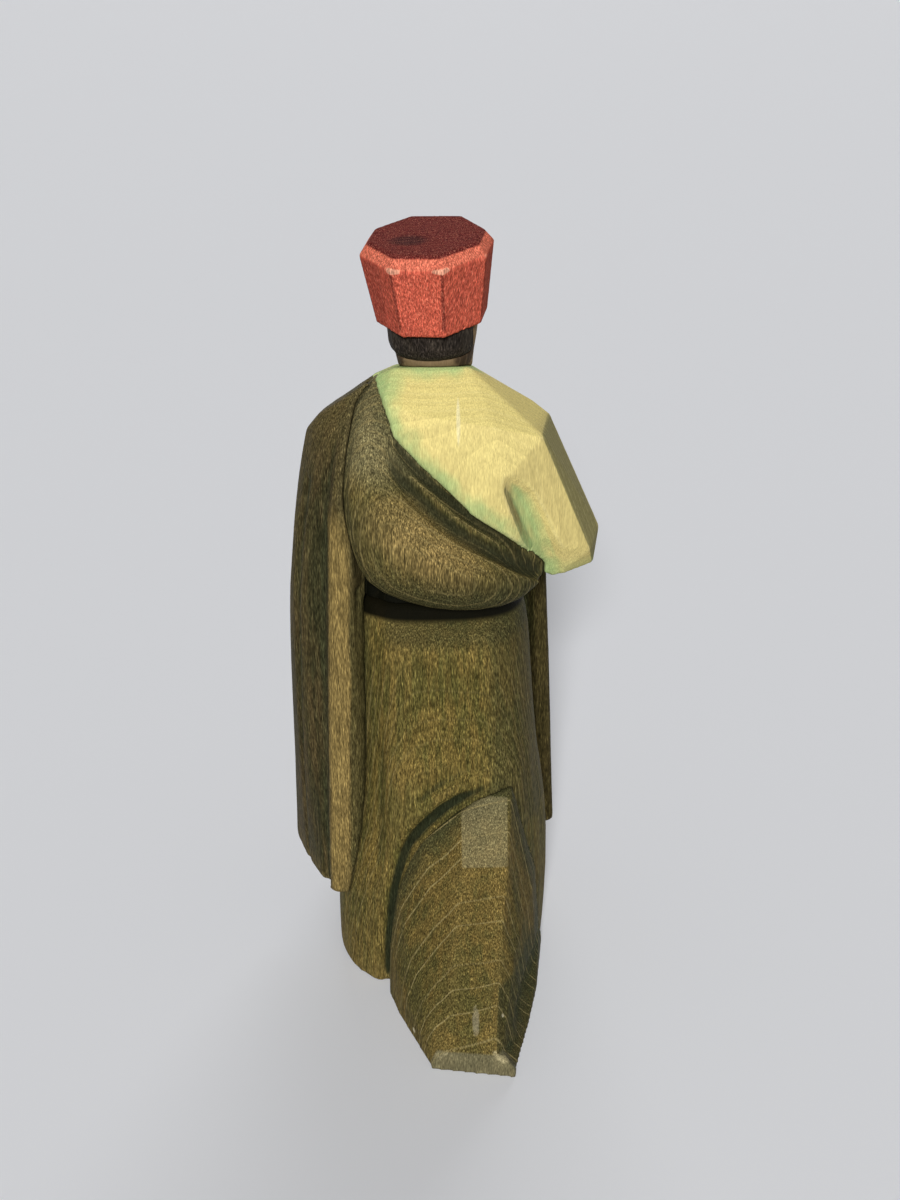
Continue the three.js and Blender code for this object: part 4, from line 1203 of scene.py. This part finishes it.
@dataclass
class Head(SubAssembly):
    """The head with its hair and cap, in a frame that leans back. Millimetres and degrees."""

    foot: Point = (0.8, 0.0, 107.5)
    tilt: float = 10.0
    lean: float = 3.0
    turn: float = 10.0
    voxel: float = 0.17
    eye: Point = (2.5, 7.4, 5.2)
    brow: Point = (2.6, 7.4, 6.7)
    mouth: Point = (0.0, 7.4, 0.4)
    nape_shade_top: Point = (FAR, -1.0, 3.0)
    neck_sides: Point = (5.0, -2.0, 1.5)
    nape_shade: Colour = (0.15, 0.105, 0.055)
    brow_tone: Colour = (0.035, 0.022, 0.014)
    lip_tone: Colour = (0.36, 0.12, 0.085)
    cap_foot: float = 7.6
    crown: float = 18.5
    bevel: float = 1.7
    cap_top_shade: Colour = (0.090, 0.015, 0.016)
    knot: Colour = (0.030, 0.009, 0.011)
    salmon: Colour = (0.68, 0.175, 0.105)
    chip: Colour = (0.80, 0.38, 0.25)
    facet_line: Colour = (0.12, 0.022, 0.018)
    dark_facet: Colour = (0.26, 0.045, 0.032)
    dark_from: float = -5.6
    rim_corner: Point = (3.6, -8.3, 16.8)

    @property
    def home(self) -> Matrix:
        """The head's own frame, as the part turns it."""
        turns = (("X", self.tilt), ("Y", -self.lean), ("Z", -self.turn))
        made = Matrix.Translation(Vector(self.foot))
        for axis, angle in turns:
            made = made @ Matrix.Rotation(math.radians(angle), 4, axis)
        return made

    def build(self) -> None:
        """Carves the three blocks."""
        head = Block("head", Cut.PARED, self.voxel, ("hair", "cap", "tunic"), softness=3, seed=17.0)
        hair = Block("hair", Cut.PARED, self.voxel, ("cap", "head"), softness=3, seed=19.0)
        cap = Block("cap", Cut.FACETED, self.voxel, ("hair", "head"), softness=2, seed=23.0)
        self.carve(head, SKIN, self.face_paint(), self.home)
        self.carve(hair, BLACK, (), self.home)
        self.carve(cap, RED, self.cap_paint(), self.home)

    def face_paint(self) -> Tuple[Wash, ...]:
        """Lips, eyes and brows, painted shade on the nape, and short hair with painted shadow at the sides
        of the neck.
        """
        tone = self.brow_tone
        lips = SpotWash(self.lip_tone, 0.7, self.mouth, radii=(1.9, 4.0, 0.55), soft=0.4)
        eyes = SpotWash(tone, 0.95, self.eye, radii=(0.75, 5.0, 0.42), soft=0.25, paired=True)
        brows = SpotWash(tone, 0.75, self.brow, radii=(1.5, 5.0, 0.24), soft=0.4, paired=True)
        # Painted shade on the back of the neck, below the hair.
        nape_shade = PatchWash(self.nape_shade, 0.75, BELOW_ALL, self.nape_shade_top, soft=0.5)
        # Short hair and the painted shadow under the hair, at the sides of the neck.
        neck = SpotWash(tone, 0.85, self.neck_sides, radii=(1.8, 3.0, 1.6), soft=0.4, paired=True, ragged=0.2)
        return lips, eyes, brows, nape_shade, neck

    def cap_paint(self) -> Tuple[Wash, ...]:
        """The top darkened as painted shade, with its knot, the pale bevel with chipped corners, and the
        lines between facets.
        """
        rim = self.crown - self.bevel
        edge_of_top = self.crown - 0.25
        bevel = PatchWash(self.salmon, 0.8, *layer(rim + 0.1, edge_of_top), soft=0.12)
        # Painted shade: the top of the cap darker than its sides.
        top = PatchWash(self.cap_top_shade, 0.92, *layer(edge_of_top, FAR), soft=0.12)
        knot = SpotWash(self.knot, 0.85, (-2.2, -1.6, self.crown), radii=(2.6, 1.9, 2.0), soft=0.7)
        side = PatchWash(self.dark_facet, 0.4, BELOW_ALL, (self.dark_from, FAR, rim), soft=0.2)
        lines = EdgeWash(self.facet_line, 0.7, *layer(self.cap_foot, rim - 0.4), start=0.012, full=0.026)
        worn = EdgeWash(self.chip, 0.7, *layer(rim - 0.3, rim + 0.5), start=0.03, full=0.06)
        chips = SpotWash(
            self.chip, 0.85, self.rim_corner, radii=(1.3, 1.2, 0.4), soft=0.3, paired=True, ragged=0.5)
        return bevel, top, knot, side, lines, worn, chips


@dataclass
class Gift(SubAssembly):
    """Both hands and the casket between them. Sizes in millimetres."""

    voxel: float = 0.17

    def build(self) -> None:
        """Carves the three blocks."""
        for side in ("right", "left"):
            around = (f"{side}_sleeve", "gift_casket")
            self.carve(Block(f"{side}_hand", Cut.PARED, self.voxel, around, seed=29.0), SKIN)
        hands = ("right_hand", "left_hand")
        self.carve(Block("gift_casket", Cut.PARED, self.voxel, hands, softness=3, seed=31.0), OCHRE)


@dataclass
class Dowels:
    """The pegs inside the figure, which keep the part's own shape."""

    word: str = "dowel"
    stained: str = "fall_dowel"

    def dress(self) -> None:
        """Gives each peg bare wood, and the fall's olive, darkened as painted shade, to the one that
        crosses an open gap.
        """
        bare, dark = BARE.material("dowels"), FALL_OLIVE_SHADED.material(self.stained)
        for name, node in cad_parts.items():
            if self.word in name:
                node.data.materials.clear()
                finish = dark if name == self.stained else bare
                node.data.materials.append(finish)
                LOG.info("%s: %s", name, finish.name)


@dataclass
class Lamp:
    """One wide, soft and distant lamp without a glint. Degrees; a power of 1 shows white as white."""

    name: str
    bearing: float
    height: float
    spread: float
    power: float

    def hang(self) -> None:
        """Makes the lamp and turns it; a bearing of 0 shines from the camera's side."""
        data = bpy.data.lights.new(self.name, "SUN")
        data.angle = math.radians(self.spread)
        data.energy = self.power * math.pi
        lamp = put(self.name, data)
        lamp.rotation_euler = (math.radians(90.0 - self.height), 0.0, math.radians(self.bearing))
        lamp.visible_glossy = False


def looked_at(graph: Graph) -> Wire:
    """1 where a ray comes from the camera or a reflection, and 0 for light that bounces on."""
    path = graph.node("ShaderNodeLightPath")
    return path["Is Camera Ray"].at_least(path["Is Glossy Ray"]).at_least(path["Is Transmission Ray"])


@dataclass
class Studio:
    """Pale floor, soft light and the camera. Metres and degrees."""

    floor_size: float = 60.0
    floor_colour: Colour = (0.86, 0.87, 0.90)
    floor_bounce: float = 0.18
    floor_gloss: float = 0.2
    floor_roughness: float = 0.75
    tooth: float = 0.1
    tooth_scale: float = 900.0
    sky: float = 0.11
    backdrop: float = 0.86
    camera_place: Point = (0.0026, -0.190, 0.160)
    pitch: float = 26.0
    roll: float = 0.7
    focal_pixels: float = 1300.0
    image_width: float = 900.0
    image_height: float = 1200.0
    sensor: float = 36.0
    near: float = 0.01
    far: float = 100.0
    lamps: Tuple[Lamp, ...] = (
        Lamp("key", bearing=-4.0, height=28.0, spread=12.0, power=1.0),
        Lamp("front_fill", bearing=172.0, height=14.0, spread=40.0, power=0.55),
    )

    def build(self) -> None:
        """Lays the floor, hangs the lamps, lights the room and sets up the camera."""
        self._floor()
        for lamp in self.lamps:
            lamp.hang()
        self._room()
        self._camera()
        bpy.context.scene.view_settings.view_transform = "Standard"

    def _floor(self) -> None:
        """A wide plain floor with a fine tooth, pale to look at and darker for the light it sends up."""
        half = self.floor_size / 2
        mesh = bpy.data.meshes.new("floor")
        corners = [(-half, -half, 0), (half, -half, 0), (half, half, 0), (-half, half, 0)]
        mesh.from_pydata(corners, [], [(0, 1, 2, 3)])
        floor = put("floor", mesh)
        material = bpy.data.materials.new("pale_floor")
        graph = empty_graph(material)
        place = graph.node("ShaderNodeTexCoord")["Object"]
        tooth = graph.node("ShaderNodeTexNoise", None, {
            "Vector": place, "Scale": self.tooth_scale, "Detail": 1.0})["Fac"]
        dim = tuple(self.floor_bounce * part for part in self.floor_colour)
        shader = graph.node("ShaderNodeBsdfPrincipled", None, {
            "Base Color": graph.blend(dim, self.floor_colour, looked_at(graph)),
            "Roughness": self.floor_roughness + self.tooth * tooth,
            "Specular IOR Level": self.floor_gloss,
        })
        graph.node("ShaderNodeOutputMaterial", None, {"Surface": shader["BSDF"]})
        mesh.materials.append(material)

    def _room(self) -> None:
        """Even light from all round, with a pale backdrop for the camera and for reflections."""
        world = bpy.data.worlds.new("studio")
        graph = empty_graph(world)
        strength = looked_at(graph) * (self.backdrop - self.sky) + self.sky
        light = graph.node("ShaderNodeBackground", None, {
            "Color": (1.0, 1.0, 1.0, 1.0), "Strength": strength})
        graph.node("ShaderNodeOutputWorld", None, {"Surface": light["Background"]})
        bpy.context.scene.world = world

    def _camera(self) -> None:
        """The camera, at the photograph's height, angle and lens."""
        data = bpy.data.cameras.new("camera")
        data.sensor_fit = "AUTO"
        data.sensor_width = self.sensor
        data.lens = self.focal_pixels / max(self.image_width, self.image_height) * self.sensor
        data.clip_start = self.near
        data.clip_end = self.far
        camera = put("camera", data)
        look = Matrix.Rotation(math.radians(90.0 - self.pitch), 4, "X")
        turn = Matrix.Rotation(math.radians(-self.roll), 4, "Z")
        camera.matrix_world = Matrix.Translation(Vector(self.camera_place)) @ look @ turn
        bpy.context.scene.camera = camera


def main() -> None:
    """Builds the figure from its sub-assemblies, then the studio round it."""
    logging.basicConfig(level=logging.INFO, format="%(name)s: %(message)s")
    carver = Carver()
    assemblies = [kind(carver) for kind in (Robe, Cloth, Tunic, Head, Gift)]
    for assembly in assemblies:
        assembly.build()
    for assembly in assemblies:
        assembly.settle()
    Dowels().dress()
    Studio().build()


if __name__ == "__main__":
    main()
